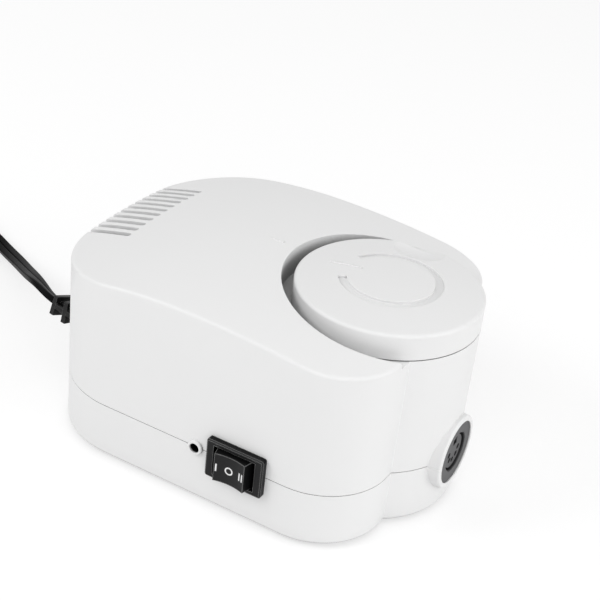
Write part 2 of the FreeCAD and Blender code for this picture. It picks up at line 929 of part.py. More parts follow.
def rocker_marks():
    skin = rocker_face_arc(mark_depth).cut(rocker_face_arc(0))
    return group([blank.common(skin) for blank in rocker_mark_blanks()])


def switch_rocker():
    z = seam_height
    reach = rocker_height / 2 + pivot_length
    pins = post(switch_x, pivot_y, z - reach, z + reach, pivot_radius)
    skin = rocker_face_arc(mark_depth)
    recesses = [blank.common(skin) for blank in rocker_mark_blanks()]
    return rocker_block().fuse(pins).cut(recesses).removeSplitter()


def switch_blades():
    y0 = near_wall + switch_body_depth
    blades = []
    for index in range(blade_count):
        x = switch_x + (index - (blade_count - 1) / 2) * blade_pitch
        blade = block(x - blade_thickness / 2, x + blade_thickness / 2, y0, y0 + blade_length,
                      seam_height - blade_width / 2, seam_height + blade_width / 2)
        eye = bar(x - margin, x + margin, y0 + blade_eye, seam_height, blade_thickness)
        blades.append(blade.cut(eye))
    return group(blades)


def socket_housing():
    z = seam_height
    seat = socket_face - socket_ring_depth
    ring = bar(seat, socket_face, 0, z, socket_ring_radius)
    barrel = bar(socket_face - socket_barrel_length, seat + overlap, 0, z, socket_barrel_radius)
    bore = bar(socket_face - socket_bore_depth, socket_face + margin, 0, z, socket_bore_radius)
    tail_hole = bar(socket_face - socket_barrel_length - margin, socket_face, 0, z, insert_radius)
    return ring.fuse(barrel).cut([bore, tail_hole]).removeSplitter()


def socket_sleeve():
    z = seam_height
    low = socket_face - socket_bore_depth
    tube = bar(low, socket_face - sleeve_setback, 0, z, socket_bore_radius)
    return tube.cut(bar(low - margin, socket_face, 0, z, socket_bore_radius - sleeve_wall))


def contact_places():
    places = []
    for index in range(contact_count):
        angle = math.radians(180 + index * contact_arc / (contact_count - 1))
        places.append((contact_circle * math.cos(angle), seam_height + contact_circle * math.sin(angle)))
    return places


def socket_insert():
    z = seam_height
    front = socket_face - insert_setback
    core = bar(socket_face - socket_barrel_length, front, 0, z, insert_radius)
    holes = [bar(socket_face - socket_barrel_length - margin, front + margin, y, hz, contact_bore)
             for y, hz in contact_places()]
    key = block(front - socket_bore_depth / 2, front + margin, -key_width / 2, key_width / 2,
                z + key_reach, z + key_reach + key_height)
    return core.cut(holes + [key])


def socket_contacts():
    back = socket_face - socket_barrel_length - contact_tail
    front = socket_face - insert_setback - contact_setback
    tubes = []
    for y, z in contact_places():
        tube = bar(back, front, y, z, contact_radius)
        tubes.append(tube.cut(bar(front - socket_bore_depth + contact_tube_floor, front + margin, y, z,
                                  contact_tube_hole)))
    return group(tubes)


def jack_nose_front():
    return near_wall - jack_collar_proud + jack_lip


def jack_body():
    # box behind the wall with a round nose that fills the collar up to its lip
    z = seam_height
    y0 = near_wall + shell_wall
    y1 = y0 + jack_body_length
    case = block(jack_x - jack_body_width / 2, jack_x + jack_body_width / 2, y0, y1,
                 z - jack_body_height / 2, z + jack_body_height / 2)
    nose = rod(jack_x, jack_nose_front(), y0 + overlap, z, jack_nose_radius)
    return case.fuse(nose).cut(rod(jack_x, jack_nose_front() - margin, y1 - shell_wall, z, jack_bore))


def jack_tags():
    y = near_wall + shell_wall + jack_body_length / 2
    high = seam_height - jack_body_height / 2
    tags = []
    for index in range(jack_tag_count):
        yy = y + (index - (jack_tag_count - 1) / 2) * jack_tag_pitch
        tags.append(block(jack_x - jack_tag_width / 2, jack_x + jack_tag_width / 2,
                          yy - jack_tag_thickness / 2, yy + jack_tag_thickness / 2,
                          high - jack_tag_length, high))
    return group(tags)


def transformer_core():
    half = core_width / 2
    plate = block(core_x - core_stack / 2, core_x + core_stack / 2, -half, half,
                  core_bottom, core_bottom + core_height)
    windows = []
    for side in (-1, 1):
        inner = side * core_leg / 2
        outer = side * (core_leg / 2 + core_window_width)
        windows.append(block(core_x - core_stack, core_x + core_stack, min(inner, outer), max(inner, outer),
                             core_middle - core_window_height / 2, core_middle + core_window_height / 2))
    return plate.cut(windows)


def coil_box(gap_out, half_height):
    half_x = core_stack / 2 + gap_out
    half_y = core_leg / 2 + gap_out
    return block(core_x - half_x, core_x + half_x, -half_y, half_y,
                 core_middle - half_height, core_middle + half_height)


def transformer_bobbin():
    half_height = core_window_height / 2 - slip
    former = coil_box(slip + bobbin_wall, half_height)
    between_flanges = coil_box(core_window_width, half_height - bobbin_flange)
    flanges = coil_box(core_window_width - slip, half_height).cut(between_flanges)
    leg_hole = coil_box(slip, half_height + margin)
    return join([former, flanges]).cut([leg_hole] + pin_posts())


def pin_places():
    # two rows under the coil, behind and in front of it
    places = []
    for side in (-1, 1):
        x = core_x + side * (core_stack / 2 + core_window_width - pin_inset)
        for index in range(pin_count):
            places.append((x, (index - (pin_count - 1) / 2) * pin_pitch))
    return places


def pin_low():
    return core_middle - core_window_height / 2 + slip - pin_length


def pin_posts():
    # solder pins held in the bobbin's lower flange
    high = pin_low() + pin_length + bobbin_flange
    return [post(x, y, pin_low(), high, pin_radius) for x, y in pin_places()]


def transformer_pins():
    return group(pin_posts())


def transformer_winding():
    half_height = core_window_height / 2 - slip - bobbin_flange
    outer = coil_box(slip + bobbin_wall + winding_build, half_height)
    upright = [e for e in outer.Edges if e.BoundBox.ZLength > half_height]
    outer = outer.makeFillet(winding_build / 2, upright)
    return outer.cut(coil_box(slip + bobbin_wall, half_height + margin))


def transformer_bracket():
    # steel strap over the laminations with a screwed tab on each side
    half = core_width / 2
    thick = bracket_thickness
    top = core_bottom + core_height
    depth0 = core_x - core_stack / 2
    depth1 = core_x + core_stack / 2
    strap = block(depth0, depth1, -half - thick, half + thick, core_bottom, top + thick)
    strap = strap.cut(block(depth0 - margin, depth1 + margin, -half, half, core_bottom - margin, top))
    tab_outer = half + thick + bracket_tab
    tabs = []
    for side in (-1, 1):
        inner = side * half
        outer = side * tab_outer
        tabs.append(block(depth0, depth1, min(inner, outer), max(inner, outer),
                          core_bottom - thick, core_bottom))
    holes = [post(x, y, core_bottom - 2 * thick, core_bottom + margin, board_screw_radius + slip)
             for x, y in bracket_screw_places()]
    return join([strap] + tabs).cut(holes)


def small_screw(x, y, seat, length):
    # slotted pan head on top of the seat, shank below it
    top = seat + board_screw_head_height
    head = post(x, y, seat, top, board_screw_head)
    half = board_screw_slot / 2
    slot = block(x - board_screw_head, x + board_screw_head, y - half, y + half,
                 top - board_screw_slot, top + margin)
    return head.cut(slot).fuse(post(x, y, seat - length, seat, board_screw_radius))


def transformer_screws():
    length = core_bottom - floor_top - bracket_screw_gap
    return group([small_screw(x, y, core_bottom, length) for x, y in bracket_screw_places()])


def circuit_board():
    plate = block(board_back, board_front, board_near, board_far, board_bottom, board_top)
    holes = [post(x, y, board_bottom - margin, board_top + margin, board_screw_radius + slip)
             for x, y in board_post_places()]
    return plate.cut(holes)


def board_screws():
    return group([small_screw(x, y, board_top, board_screw_length) for x, y in board_post_places()])


def can_places():
    column_x = board_back + main_can_column
    first_y = board_near + main_can_row
    small = (board_back + small_can_column, board_near + small_can_row, small_can_radius, small_can_height)
    return [
        (column_x, first_y, main_can_radius, main_can_height),
        (column_x, first_y + main_can_pitch, main_can_radius, main_can_height),
        small,
    ]


def capacitors():
    cans = []
    for x, y, radius, height in can_places():
        can = post(x, y, board_top, board_top + height, radius)
        edges = [e for e in can.Edges if e.Closed]
        cans.append(can.makeFillet(radius * can_round_share, edges))
    return group(cans)


def heat_sink():
    x0 = board_back + sink_column
    y0 = board_far - sink_from_far
    base = block(x0, x0 + sink_length, y0, y0 + sink_base, board_top, board_top + sink_height)
    fins = []
    step = (sink_length - sink_fin_thickness) / (sink_fin_count - 1)
    for index in range(sink_fin_count):
        x = x0 + index * step
        fins.append(block(x, x + sink_fin_thickness, y0 + sink_base - overlap, y0 + sink_base + sink_fin,
                          board_top, board_top + sink_height))
    return join([base] + fins)


def power_transistor():
    # flat package screwed to the heat sink's near face
    middle = board_back + sink_column + sink_length / 2
    face = board_far - sink_from_far
    low = board_top + transistor_lift
    x0 = middle - transistor_width / 2
    x1 = middle + transistor_width / 2
    tab = block(x0, x1, face - transistor_tab, face, low, low + transistor_tab_height)
    body = block(x0, x1, face - transistor_depth, face - transistor_tab / 2, low, low + transistor_height)
    screw = rod(middle, face - transistor_screw_depth, face - transistor_tab / 2,
                low + transistor_screw_rise, transistor_screw_head)
    half = transistor_leg_width / 2
    leg_y = face - transistor_leg_depth
    legs = []
    for step in (-1, 0, 1):
        x = middle + step * transistor_leg_pitch
        legs.append(block(x - half, x + half, leg_y - transistor_leg_thickness, leg_y, board_top, low + half))
    return join([tab, body, screw] + legs)


def axial_part(x, y, radius, length, wire):
    # round body on a wire whose two ends stand on the board
    z = board_top + radius + axial_lift
    reach = axial_span / 2
    leg_reach = reach - axial_leg_inset
    body = rod(x, y - length / 2, y + length / 2, z, radius)
    span = rod(x, y - reach, y + reach, z, wire)
    legs = [post(x, y + side * leg_reach, board_top, z, wire - axial_leg_step) for side in (-1, 1)]
    return join([body, span] + legs)


def rectifier_diodes():
    y = board_near + diode_row
    return group([
        axial_part(board_back + diode_column + index * diode_pitch, y, diode_radius, diode_length, diode_wire)
        for index in range(diode_count)
    ])


def resistors():
    y = board_near + resistor_row
    return group([
        axial_part(board_back + resistor_column + index * resistor_pitch, y,
                   resistor_radius, resistor_length, resistor_wire)
        for index in range(resistor_count)
    ])


def fuse_place():
    return board_back + fuse_column, board_far - fuse_from_far, board_top + fuse_lift


def glass_fuse():
    x, y, z = fuse_place()
    half = fuse_length / 2
    glass = rod(x, y - half, y + half, z, fuse_radius - fuse_glass_step)
    caps = [
        rod(x, y - half, y - half + fuse_cap_length, z, fuse_radius),
        rod(x, y + half - fuse_cap_length, y + half, z, fuse_radius),
    ]
    return join([glass] + caps)


def fuse_clips():
    x, y, z = fuse_place()
    half = fuse_length / 2
    outer = fuse_radius + clip_wall
    throat_half = fuse_radius - clip_lip
    clips = []
    for start in (y - half + clip_inset, y + half - clip_inset - clip_width):
        finish = start + clip_width
        cheek = block(x - outer, x + outer, start, finish, board_top, z + clip_rise)
        seat = rod(x, start - margin, finish + margin, z, fuse_radius)
        throat = block(x - throat_half, x + throat_half, start - margin, finish + margin,
                       z, z + clip_rise + margin)
        clips.append(cheek.cut([seat, throat]))
    return group(clips)


def header_places():
    front_column = board_front - header_from_front
    return [
        (front_column, board_near + output_header_row, output_header_ways),
        (board_back + switch_header_column, board_near + switch_header_row, switch_header_ways),
        (front_column, board_far - speed_header_from_far, speed_header_ways),
    ]


def board_headers():
    headers = []
    half_x = header_width / 2
    high = board_top + header_height
    for x, y, ways in header_places():
        half_y = ways * header_pitch / 2 + header_end
        case = block(x - half_x, x + half_x, y - half_y, y + half_y, board_top, high)
        hollow = block(x - half_x + header_wall, x + half_x - header_wall,
                       y - half_y + header_wall, y + half_y - header_wall,
                       board_top + header_floor, high + margin)
        headers.append(case.cut(hollow))
    return group(headers)


def case_screws():
    # cross heads sunk in the base, shanks up into the upper shell's bosses
    seat = shell_bottom + case_screw_head_height
    low = shell_bottom + case_screw_head_sink
    long_half = case_screw_cross_length / 2
    thin_half = case_screw_cross_width / 2
    cross_top = low + case_screw_cross_depth
    screws = []
    for x, y in case_screw_places():
        head = post(x, y, low, seat, case_screw_head_radius)
        cross = block(x - long_half, x + long_half, y - thin_half, y + thin_half, low - margin, cross_top)
        cross = cross.fuse(block(x - thin_half, x + thin_half, y - long_half, y + long_half,
                                 low - margin, cross_top))
        shank = post(x, y, seat, seat + case_screw_length, case_screw_radius)
        screws.append(head.cut(cross).fuse(shank))
    return group(screws)


def rubber_feet():
    feet = []
    for x, y in foot_places():
        foot = post(x, y, 0, shell_bottom + foot_recess, foot_radius)
        edge = [e for e in foot.Edges if e.Closed and e.BoundBox.ZMax < near_enough]
        feet.append(foot.makeFillet(foot_round, edge))
    return group(feet)


def relief_frame(distance):
    # place and heading on the relief's curved middle line, measured out of the wall
    turn = math.radians(relief_turn) * distance / relief_length
    radius = relief_length / math.radians(relief_turn)
    x = relief_start - radius * math.sin(turn)
    y = relief_y + radius * (1 - math.cos(turn))
    return x, y, math.degrees(turn)


def relief_piece(distance, length, width, height, side_shift, z_shift):
    x, y, turn = relief_frame(distance + length / 2)
    piece = block(-length / 2, length / 2, side_shift - width / 2, side_shift + width / 2,
                  z_shift - height / 2, z_shift + height / 2)
    piece.rotate(point(0, 0, 0), forward, -relief_twist * (distance + length / 2) / relief_length)
    piece.rotate(point(0, 0, 0), up, -turn)
    piece.translate(point(x, y, seam_height))
    return piece


def strain_relief():
    # flange inside the wall, neck through it, and plates on a bending core, tied along both sides
    z = seam_height
    inner = -back_reach + shell_wall + slip
    flange = block(inner, inner + relief_flange_thickness,
                   relief_y - relief_flange_width / 2, relief_y + relief_flange_width / 2,
                   z - relief_flange_height / 2, z + relief_flange_height / 2)
    neck = block(relief_start - relief_gap, inner + slip, relief_y - relief_neck_width / 2,
                 relief_y + relief_neck_width / 2, z - relief_neck_height / 2, z + relief_neck_height / 2)
    pieces = [flange, neck]
    step = (relief_length - relief_plate_thickness) / (relief_plate_count - 1)
    for index in range(relief_plate_count):
        pieces.append(relief_piece(index * step, relief_plate_thickness, relief_plate_width,
                                   relief_plate_height - index * relief_plate_taper, 0, 0))
    for index in range(relief_plate_count - 1):
        gap_start = index * step + relief_plate_thickness / 2
        pieces.append(relief_piece(gap_start, step, relief_core_width, relief_core_height, 0, 0))
        for side in (-1, 1):
            pieces.append(relief_piece(gap_start, step, relief_link_width, relief_link_height,
                                       side * (relief_plate_width - relief_link_width) / 2, relief_link_rise))
    return join(pieces)


def cord_points():
    # out of the relief squarely, then along the route
    x, y, turn = relief_frame(relief_length - relief_plate_thickness / 2)
    heading = point(-math.cos(math.radians(turn)), math.sin(math.radians(turn)), 0)
    start = point(x, y, seam_height) + heading * (relief_plate_thickness / 2)
    return [start, start + heading * cord_lead] + [point(*place) for place in cord_route]


def tangent_arc(first, last, tangent):
    chord = last - first
    half = chord.Length / 2
    along = chord * (1 / chord.Length)
    bend = math.acos(max(-1, min(1, tangent.dot(along))))
    side = tangent - along * tangent.dot(along)
    side.normalize()
    middle = (first + last) * 0.5 + side * (half * math.tan(bend / 2))
    return Part.Arc(first, middle, last).toShape()


def smooth_run(points):
    # straight runs joined by tangent arcs, each as large as its two runs allow
    edges = []
    radii = []
    here = points[0]
    for before, corner, after in zip(points, points[1:], points[2:]):
        inward_run = corner - before
        outward_run = after - corner
        heading = inward_run * (1 / inward_run.Length)
        leaving = outward_run * (1 / outward_run.Length)
        reach = run_share * min(inward_run.Length, outward_run.Length)
        turn = math.acos(max(-1, min(1, heading.dot(leaving))))
        radii.append(reach / math.tan(turn / 2))
        arc_start = corner - heading * reach
        arc_end = corner + leaving * reach
        edges.append(Part.LineSegment(here, arc_start).toShape())
        edges.append(tangent_arc(arc_start, arc_end, heading))
        here = arc_end
    edges.append(Part.LineSegment(here, points[-1]).toShape())
    return edges, radii


def tube(edges, radius):
    wire = Part.Wire(edges)
    first = edges[0]
    start = first.valueAt(first.FirstParameter)
    heading = first.tangentAt(first.FirstParameter)
    section = Part.Wire([Part.Circle(start, heading, radius).toShape()])
    return wire.makePipeShell([section], True, False)


def cord_tube():
    edges, radii = smooth_run(cord_points())
    print("cord radii in diameters:", [round(radius / cord_diameter, 1) for radius in radii])
    solid = tube(edges, cord_diameter / 2)
    length = sum(edge.Length for edge in edges)
    section = math.pi * cord_diameter * cord_diameter / 4
    print("cord length", round(length, 1), "volume ratio", round(solid.Volume / (section * length), 4))
    return solid


def coil_state(turns):
    # place and heading after so many turns: in, up a layer, and out again
    climb_start = coil_turns_in
    climb_end = climb_start + coil_climb
    if turns <= climb_start:
        radius = coil_outer_radius - coil_pitch * turns
        rate = -coil_pitch
        rise = 0.0
        rise_rate = 0.0
    elif turns < climb_end:
        share = (turns - climb_start) / coil_climb
        radius = coil_inner_radius - coil_pitch * share * (1 - share) / 2
        rate = coil_pitch * (2 * share - 1)
        rise = coil_layer_rise * (1 - math.cos(math.pi * share)) / 2
        rise_rate = coil_layer_rise * math.pi * math.sin(math.pi * share) / (2 * coil_climb)
    else:
        radius = coil_inner_radius + coil_pitch * (turns - climb_end)
        rate = coil_pitch
        rise = coil_layer_rise
        rise_rate = 0.0
    angle = math.radians(90 + 360 * turns)
    place = point(coil_x + radius * math.cos(angle), coil_y + radius * math.sin(angle), coil_low + rise)
    heading = point(
        rate * math.cos(angle) - 2 * math.pi * radius * math.sin(angle),
        rate * math.sin(angle) + 2 * math.pi * radius * math.cos(angle),
        rise_rate,
    )
    heading.normalize()
    return place, heading


def biarc(first, first_heading, last, last_heading):
    # two tangent arcs between two places with given headings
    gap = last - first
    both = first_heading + last_heading
    spread = 2 * (1 - first_heading.dot(last_heading))
    along = gap.dot(both)
    reach = (-along + math.sqrt(along * along + spread * gap.dot(gap))) / spread
    middle = (first + first_heading * reach + last - last_heading * reach) * 0.5
    first_arc = tangent_arc(first, middle, first_heading)
    back_arc = tangent_arc(last, middle, last_heading * -1)
    return [first_arc, Part.Wire([back_arc]).Edges[0]]


def coil_finish():
    # end of the cord, a short straight run past the last turn
    turn = math.radians(coil_end_heading)
    last = coil_state(coil_turns)[0]
    return last + point(math.cos(turn), math.sin(turn), 0) * coil_lead_out


def coil_edges():
    count = round(coil_turns * coil_steps)
    states = [coil_state(coil_turns * index / count) for index in range(count + 1)]
    finish = coil_finish()
    states[0] = (states[0][0], forward * -1)
    states[-1] = (states[-1][0], (finish - states[-1][0]) * (1 / coil_lead_out))
    edges = [Part.LineSegment(states[0][0] + forward * coil_lead_in, states[0][0]).toShape()]
    for (a, a_heading), (b, b_heading) in zip(states, states[1:]):
        edges += biarc(a, a_heading, b, b_heading)
    edges.append(Part.LineSegment(states[-1][0], finish).toShape())
    return edges


def coil_gap(edges):
    # least distance between stretches of the coil that are over a quarter turn apart
    points = []
    travelled = 0.0
    for edge in edges:
        count = max(2, int(edge.Length / 2))
        for index in range(count):
            share = edge.FirstParameter + (edge.LastParameter - edge.FirstParameter) * index / count
            points.append((edge.valueAt(share), travelled + edge.Length * index / count))
        travelled += edge.Length
    least = 1000.0
    for number, (place, at) in enumerate(points):
        for other, other_at in points[number + 1:]:
            if abs(other_at - at) > 8 * cord_diameter:
                least = min(least, place.distanceToPoint(other))
    return least - cord_diameter


def cord_coil():
    edges = coil_edges()
    length = sum(edge.Length for edge in edges)
    solid = tube(edges, cord_diameter / 2)
    section = math.pi * cord_diameter * cord_diameter / 4
    print("coil length", round(length, 1), "least gap", round(coil_gap(edges), 2),
          "volume ratio", round(solid.Volume / (section * length), 4))
    return solid


def lay_plug(piece):
    # from where the plug is drawn, along X from the origin, to the end of the cord
    finish = coil_finish()
    piece.rotate(point(0, 0, 0), up, coil_end_heading)
    piece.translate(point(finish.x, finish.y, 0))
    return piece


def plug_front():
    return plug_boot_length + plug_length


def plug_pin_rows():
    return -plug_pin_spacing / 2, plug_pin_spacing / 2


def plug_body():
    # two-pin plug lying flat: tapered boot, narrow grip, and a wider front that holds the pins
    boot = Part.makeCone(plug_boot_radius, plug_boot_end_radius, plug_boot_length,
                         point(0, 0, coil_high), forward)
    back = plug_boot_length - overlap
    front = plug_front()
    near_side = [
        (back, -plug_waist / 2),
        (back + plug_grip_length, -plug_waist / 2),
        (front - plug_flange_length, -plug_width / 2),
        (front, -plug_width / 2),
    ]
    corners = [point(x, y, 0) for x, y in near_side] + [point(x, -y, 0) for x, y in reversed(near_side)]
    body = prism(corners, up * (2 * coil_high))
    body = body.makeFillet(plug_edge_round, [e for e in body.Edges if e.BoundBox.XMin < front - margin])
    roots = [bar(front - plug_pin_root, front + margin, y, coil_high, plug_pin_neck_radius)
             for y in plug_pin_rows()]
    return lay_plug(body.fuse(boot).cut(roots).removeSplitter())


def plug_pins():
    # round pins with a narrower neck where they enter the plug
    front = plug_front()
    pins = []
    for y in plug_pin_rows():
        pin = bar(front + plug_pin_neck, front + plug_pin_length, y, coil_high, plug_pin_radius)
        tip = [e for e in pin.Edges if e.Closed and e.BoundBox.XMin > front + plug_pin_length / 2]
        pin = pin.makeFillet(plug_pin_round, tip)
        pins.append(pin.fuse(bar(front - plug_pin_root, front + plug_pin_length / 2, y, coil_high,
                                 plug_pin_neck_radius)))
    return lay_plug(group(pins))


def lead(points):
    edges, radii = smooth_run([point(*place) for place in points])
    return tube(edges, lead_radius)


def mains_leads():
    # from the strain relief round the screw boss to the switch, and down to the transformer's first pins
    x0 = -back_reach + shell_wall + slip + relief_flange_thickness
    z = seam_height
    low = z - lead_drop
    blade_x = switch_x - blade_pitch
    blade_y = near_wall + switch_body_depth + blade_eye
    near_y = relief_y - lead_split
    far_y = relief_y + lead_split
    beside_boss = case_screw_back_x - boss_radius - lead_boss_gap
    past_boss = -case_screw_back_y - boss_radius - lead_boss_side
    to_switch = [
        (x0, near_y, z),
        (x0 + lead_run, near_y, z),
        (beside_boss, -case_screw_back_y, z - lead_drop / 2),
        (case_screw_back_x + boss_radius / 2, past_boss, low),
        (core_x, near_wall + shell_wall + lead_wall_gap, low),
        (blade_x - 3 * lead_run, blade_y - lead_run, low),
        (blade_x, blade_y, low + lead_fan),
        (blade_x, blade_y, z - blade_width / 2),
    ]
    pin_x, pin_y = pin_places()[0]
    to_primary = [
        (x0, far_y, z),
        (x0 + lead_run, far_y, z),
        (x0 + lead_run, far_y + lead_split / 2, pin_low() - lead_split),
        (pin_x, pin_y, pin_low() - lead_run),
        (pin_x, pin_y, pin_low()),
    ]
    return group([lead(to_switch), lead(to_primary)])


def output_leads():
    # from the board's front header to the handpiece socket
    header_x, header_y, ways = header_places()[0]
    high = board_top + header_height
    back = socket_face - socket_barrel_length - contact_tail
    leads = []
    for side, (y, z) in zip((-1, 1), contact_places()[1:4:2]):
        start_y = header_y + side * header_pitch
        leads.append(lead([
            (header_x, start_y, high - lead_hold),
            (header_x, start_y, high + lead_rise),
            (header_x + lead_run, (start_y + y) / 2, high + lead_rise + lead_fan),
            (back - lead_run, y, z),
            (back, y, z),
        ]))
    return group(leads)


def speed_leads():
    # from the potentiometer's tags down to its header
    header_x, header_y, ways = header_places()[2]
    high = board_top + header_height
    tag_low = pocket_under - pot_body_depth - pot_tag_length
    tag_y = -pot_body_radius - pot_tag_reach + pot_tag_thickness / 2
    leads = []
    for index in range(pot_tag_count):
        shift = index - (pot_tag_count - 1) / 2
        end_y = header_y + shift * header_pitch
        leads.append(lead([
            (shift * pot_tag_pitch, tag_y, tag_low),
            (shift * pot_tag_pitch, tag_y, tag_low - lead_rise),
            (header_x + shift * lead_fan, header_y / 2, tag_low - 3 * lead_run),
            (header_x, end_y, high + lead_rise),
            (header_x, end_y, high),
        ]))
    return group(leads)


parts = {
    "upper_shell": upper_shell,
    "base_shell": base_shell,
    "speed_knob": speed_knob,
    "potentiometer_spindle": potentiometer_spindle,
    "potentiometer_body": potentiometer_body,
    "potentiometer_tags": potentiometer_tags,
    "potentiometer_washer": potentiometer_washer,
    "potentiometer_nut": potentiometer_nut,
    "switch_housing": switch_housing,
    "switch_rocker": switch_rocker,
    "rocker_marks": rocker_marks,
    "switch_blades": switch_blades,
    "socket_housing": socket_housing,
    "socket_sleeve": socket_sleeve,
    "socket_insert": socket_insert,
    "socket_contacts": socket_contacts,
    "jack_body": jack_body,
    "jack_tags": jack_tags,
    "transformer_core": transformer_core,
    "transformer_bobbin": transformer_bobbin,
    "transformer_pins": transformer_pins,
    "transformer_winding": transformer_winding,
    "transformer_bracket": transformer_bracket,
    "transformer_screws": transformer_screws,
    "circuit_board": circuit_board,
    "board_screws": board_screws,
    "capacitors": capacitors,
    "heat_sink": heat_sink,
    "power_transistor": power_transistor,
    "rectifier_diodes": rectifier_diodes,
    "resistors": resistors,
    "glass_fuse": glass_fuse,
    "fuse_clips": fuse_clips,
    "board_headers": board_headers,
    "case_screws": case_screws,
    "rubber_feet": rubber_feet,
    "mains_leads": mains_leads,
    "output_leads": output_leads,
    "speed_leads": speed_leads,
    "strain_relief": strain_relief,
    "cord": cord_tube,
    "cord_coil": cord_coil,
    "plug_body": plug_body,
    "plug_pins": plug_pins,
}

os.makedirs("parts", exist_ok=True)
for name, make in parts.items():
    shape = make()
    shape.translate(point(frame_x, frame_y, 0))
    shape.exportStep("parts/" + name + ".step")
    print(name, "solids", len(shape.Solids), "valid", shape.isValid(), "volume", round(shape.Volume, 1))
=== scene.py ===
import bpy
import bmesh
import json
import math
from mathutils import Matrix, Vector


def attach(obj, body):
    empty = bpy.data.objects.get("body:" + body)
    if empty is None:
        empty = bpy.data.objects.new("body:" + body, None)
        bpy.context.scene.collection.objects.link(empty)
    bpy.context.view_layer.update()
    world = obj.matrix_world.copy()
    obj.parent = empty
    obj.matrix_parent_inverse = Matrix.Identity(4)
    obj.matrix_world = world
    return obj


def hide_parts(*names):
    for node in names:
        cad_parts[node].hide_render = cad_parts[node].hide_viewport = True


# Desk control box of a nail drill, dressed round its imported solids. Metres, table at Z = 0.
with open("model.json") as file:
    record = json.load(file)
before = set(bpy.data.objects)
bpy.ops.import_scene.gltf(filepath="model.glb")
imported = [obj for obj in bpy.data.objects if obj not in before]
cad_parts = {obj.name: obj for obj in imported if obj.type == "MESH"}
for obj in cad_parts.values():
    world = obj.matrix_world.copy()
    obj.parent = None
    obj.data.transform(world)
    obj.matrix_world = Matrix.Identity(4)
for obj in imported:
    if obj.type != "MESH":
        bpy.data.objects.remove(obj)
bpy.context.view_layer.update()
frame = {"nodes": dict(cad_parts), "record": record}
nodes = frame["nodes"]
mm = 0.001
frameShift = (36.4, 2.675)  # from the source's origin to the frame's, in millimetres
print("frame loaded:", len(nodes), "groups of solids")


def at(x, y, z):
    # a place in the source's millimetres, as metres in this frame
    return ((x + frameShift[0]) * mm, (y + frameShift[1]) * mm, z * mm)


def put(tree, kind, values=None, **settings):
    # adds a node, sets its options, and fills or links its sockets
    node = tree.nodes.new(kind)
    for key, value in settings.items():
        setattr(node, key, value)
    for socket, value in (values or {}).items():
        if isinstance(value, bpy.types.NodeSocket):
            tree.links.new(value, node.inputs[socket])
        else:
            node.inputs[socket].default_value = value
    return node


def calc(tree, operation, first, second=0.0, third=0.0, clamp=False):
    node = put(tree, "ShaderNodeMath", {0: first, 1: second, 2: third}, operation=operation, use_clamp=clamp)
    return node.outputs[0]


def blendColour(tree, share, first, second):
    mix = put(tree, "ShaderNodeMix", {0: share, 6: first, 7: second}, data_type="RGBA")
    return mix.outputs[2]


def meshPiece(name, build, slotName, smoothAngle):
    # one finished mesh object, its place in its vertices
    mesh = bpy.data.meshes.new(name)
    shell = bmesh.new()
    build(shell)
    shell.to_mesh(mesh)
    shell.free()
    piece = bpy.data.objects.new(name, mesh)
    bpy.context.scene.collection.objects.link(piece)
    mesh.shade_smooth()
    mesh.set_sharp_from_angle(angle=math.radians(smoothAngle))
    mesh.materials.append(materials[slotName])
    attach(piece, "box")
    return piece


# the photograph's camera, solved from the body's outline and the circles of the knob and socket
view = {
    "azimuth": 26.7373617, "elevation": 30.4904027, "roll": 6.80648638,
    "aim": (0.0364, 0.002675, 0.074138), "sideways": -0.029409, "rise": -0.0050852,
    "distance": 0.4423445, "lens": 81.571, "sensor": 36.0,
}


def cameraAxes():
    turn, lift, roll = (math.radians(view[k]) for k in ("azimuth", "elevation", "roll"))
    back = Vector((math.sin(turn) * math.cos(lift), -math.cos(turn) * math.cos(lift), math.sin(lift)))
    level = Vector((math.cos(turn), math.sin(turn), 0.0))
    upright = back.cross(level)
    right = math.cos(roll) * level + math.sin(roll) * upright
    return right, back.cross(right), back


def makeCamera():
    right, upright, back = cameraAxes()
    data = bpy.data.cameras.new("Camera")
    data.lens = view["lens"]
    data.sensor_width = view["sensor"]
    camera = bpy.data.objects.new("Camera", data)
    bpy.context.scene.collection.objects.link(camera)
    place = Vector(view["aim"]) + right * view["sideways"] + upright * view["rise"] + back * view["distance"]
    turn = Matrix((right, upright, back)).transposed()
    camera.matrix_world = Matrix.Translation(place) @ turn.to_4x4()
    bpy.context.scene.camera = camera


makeCamera()
print("camera placed")


def openGroup(name, inputs, outputs):
    # a shader group with named inputs, each with the value it starts from, and named outputs
    group = bpy.data.node_groups.new(name, "ShaderNodeTree")
    for label, kind, value in inputs:
        socket = group.interface.new_socket(name=label, in_out="INPUT", socket_type=kind)
        if value is not None:
            socket.default_value = value
    for label, kind in outputs:
        group.interface.new_socket(name=label, in_out="OUTPUT", socket_type=kind)
    return group, group.nodes.new("NodeGroupInput").outputs, group.nodes.new("NodeGroupOutput").inputs


grainLook = {"fineDetail": 2.0, "driftDetail": 4.0, "driftRoughness": 0.6}


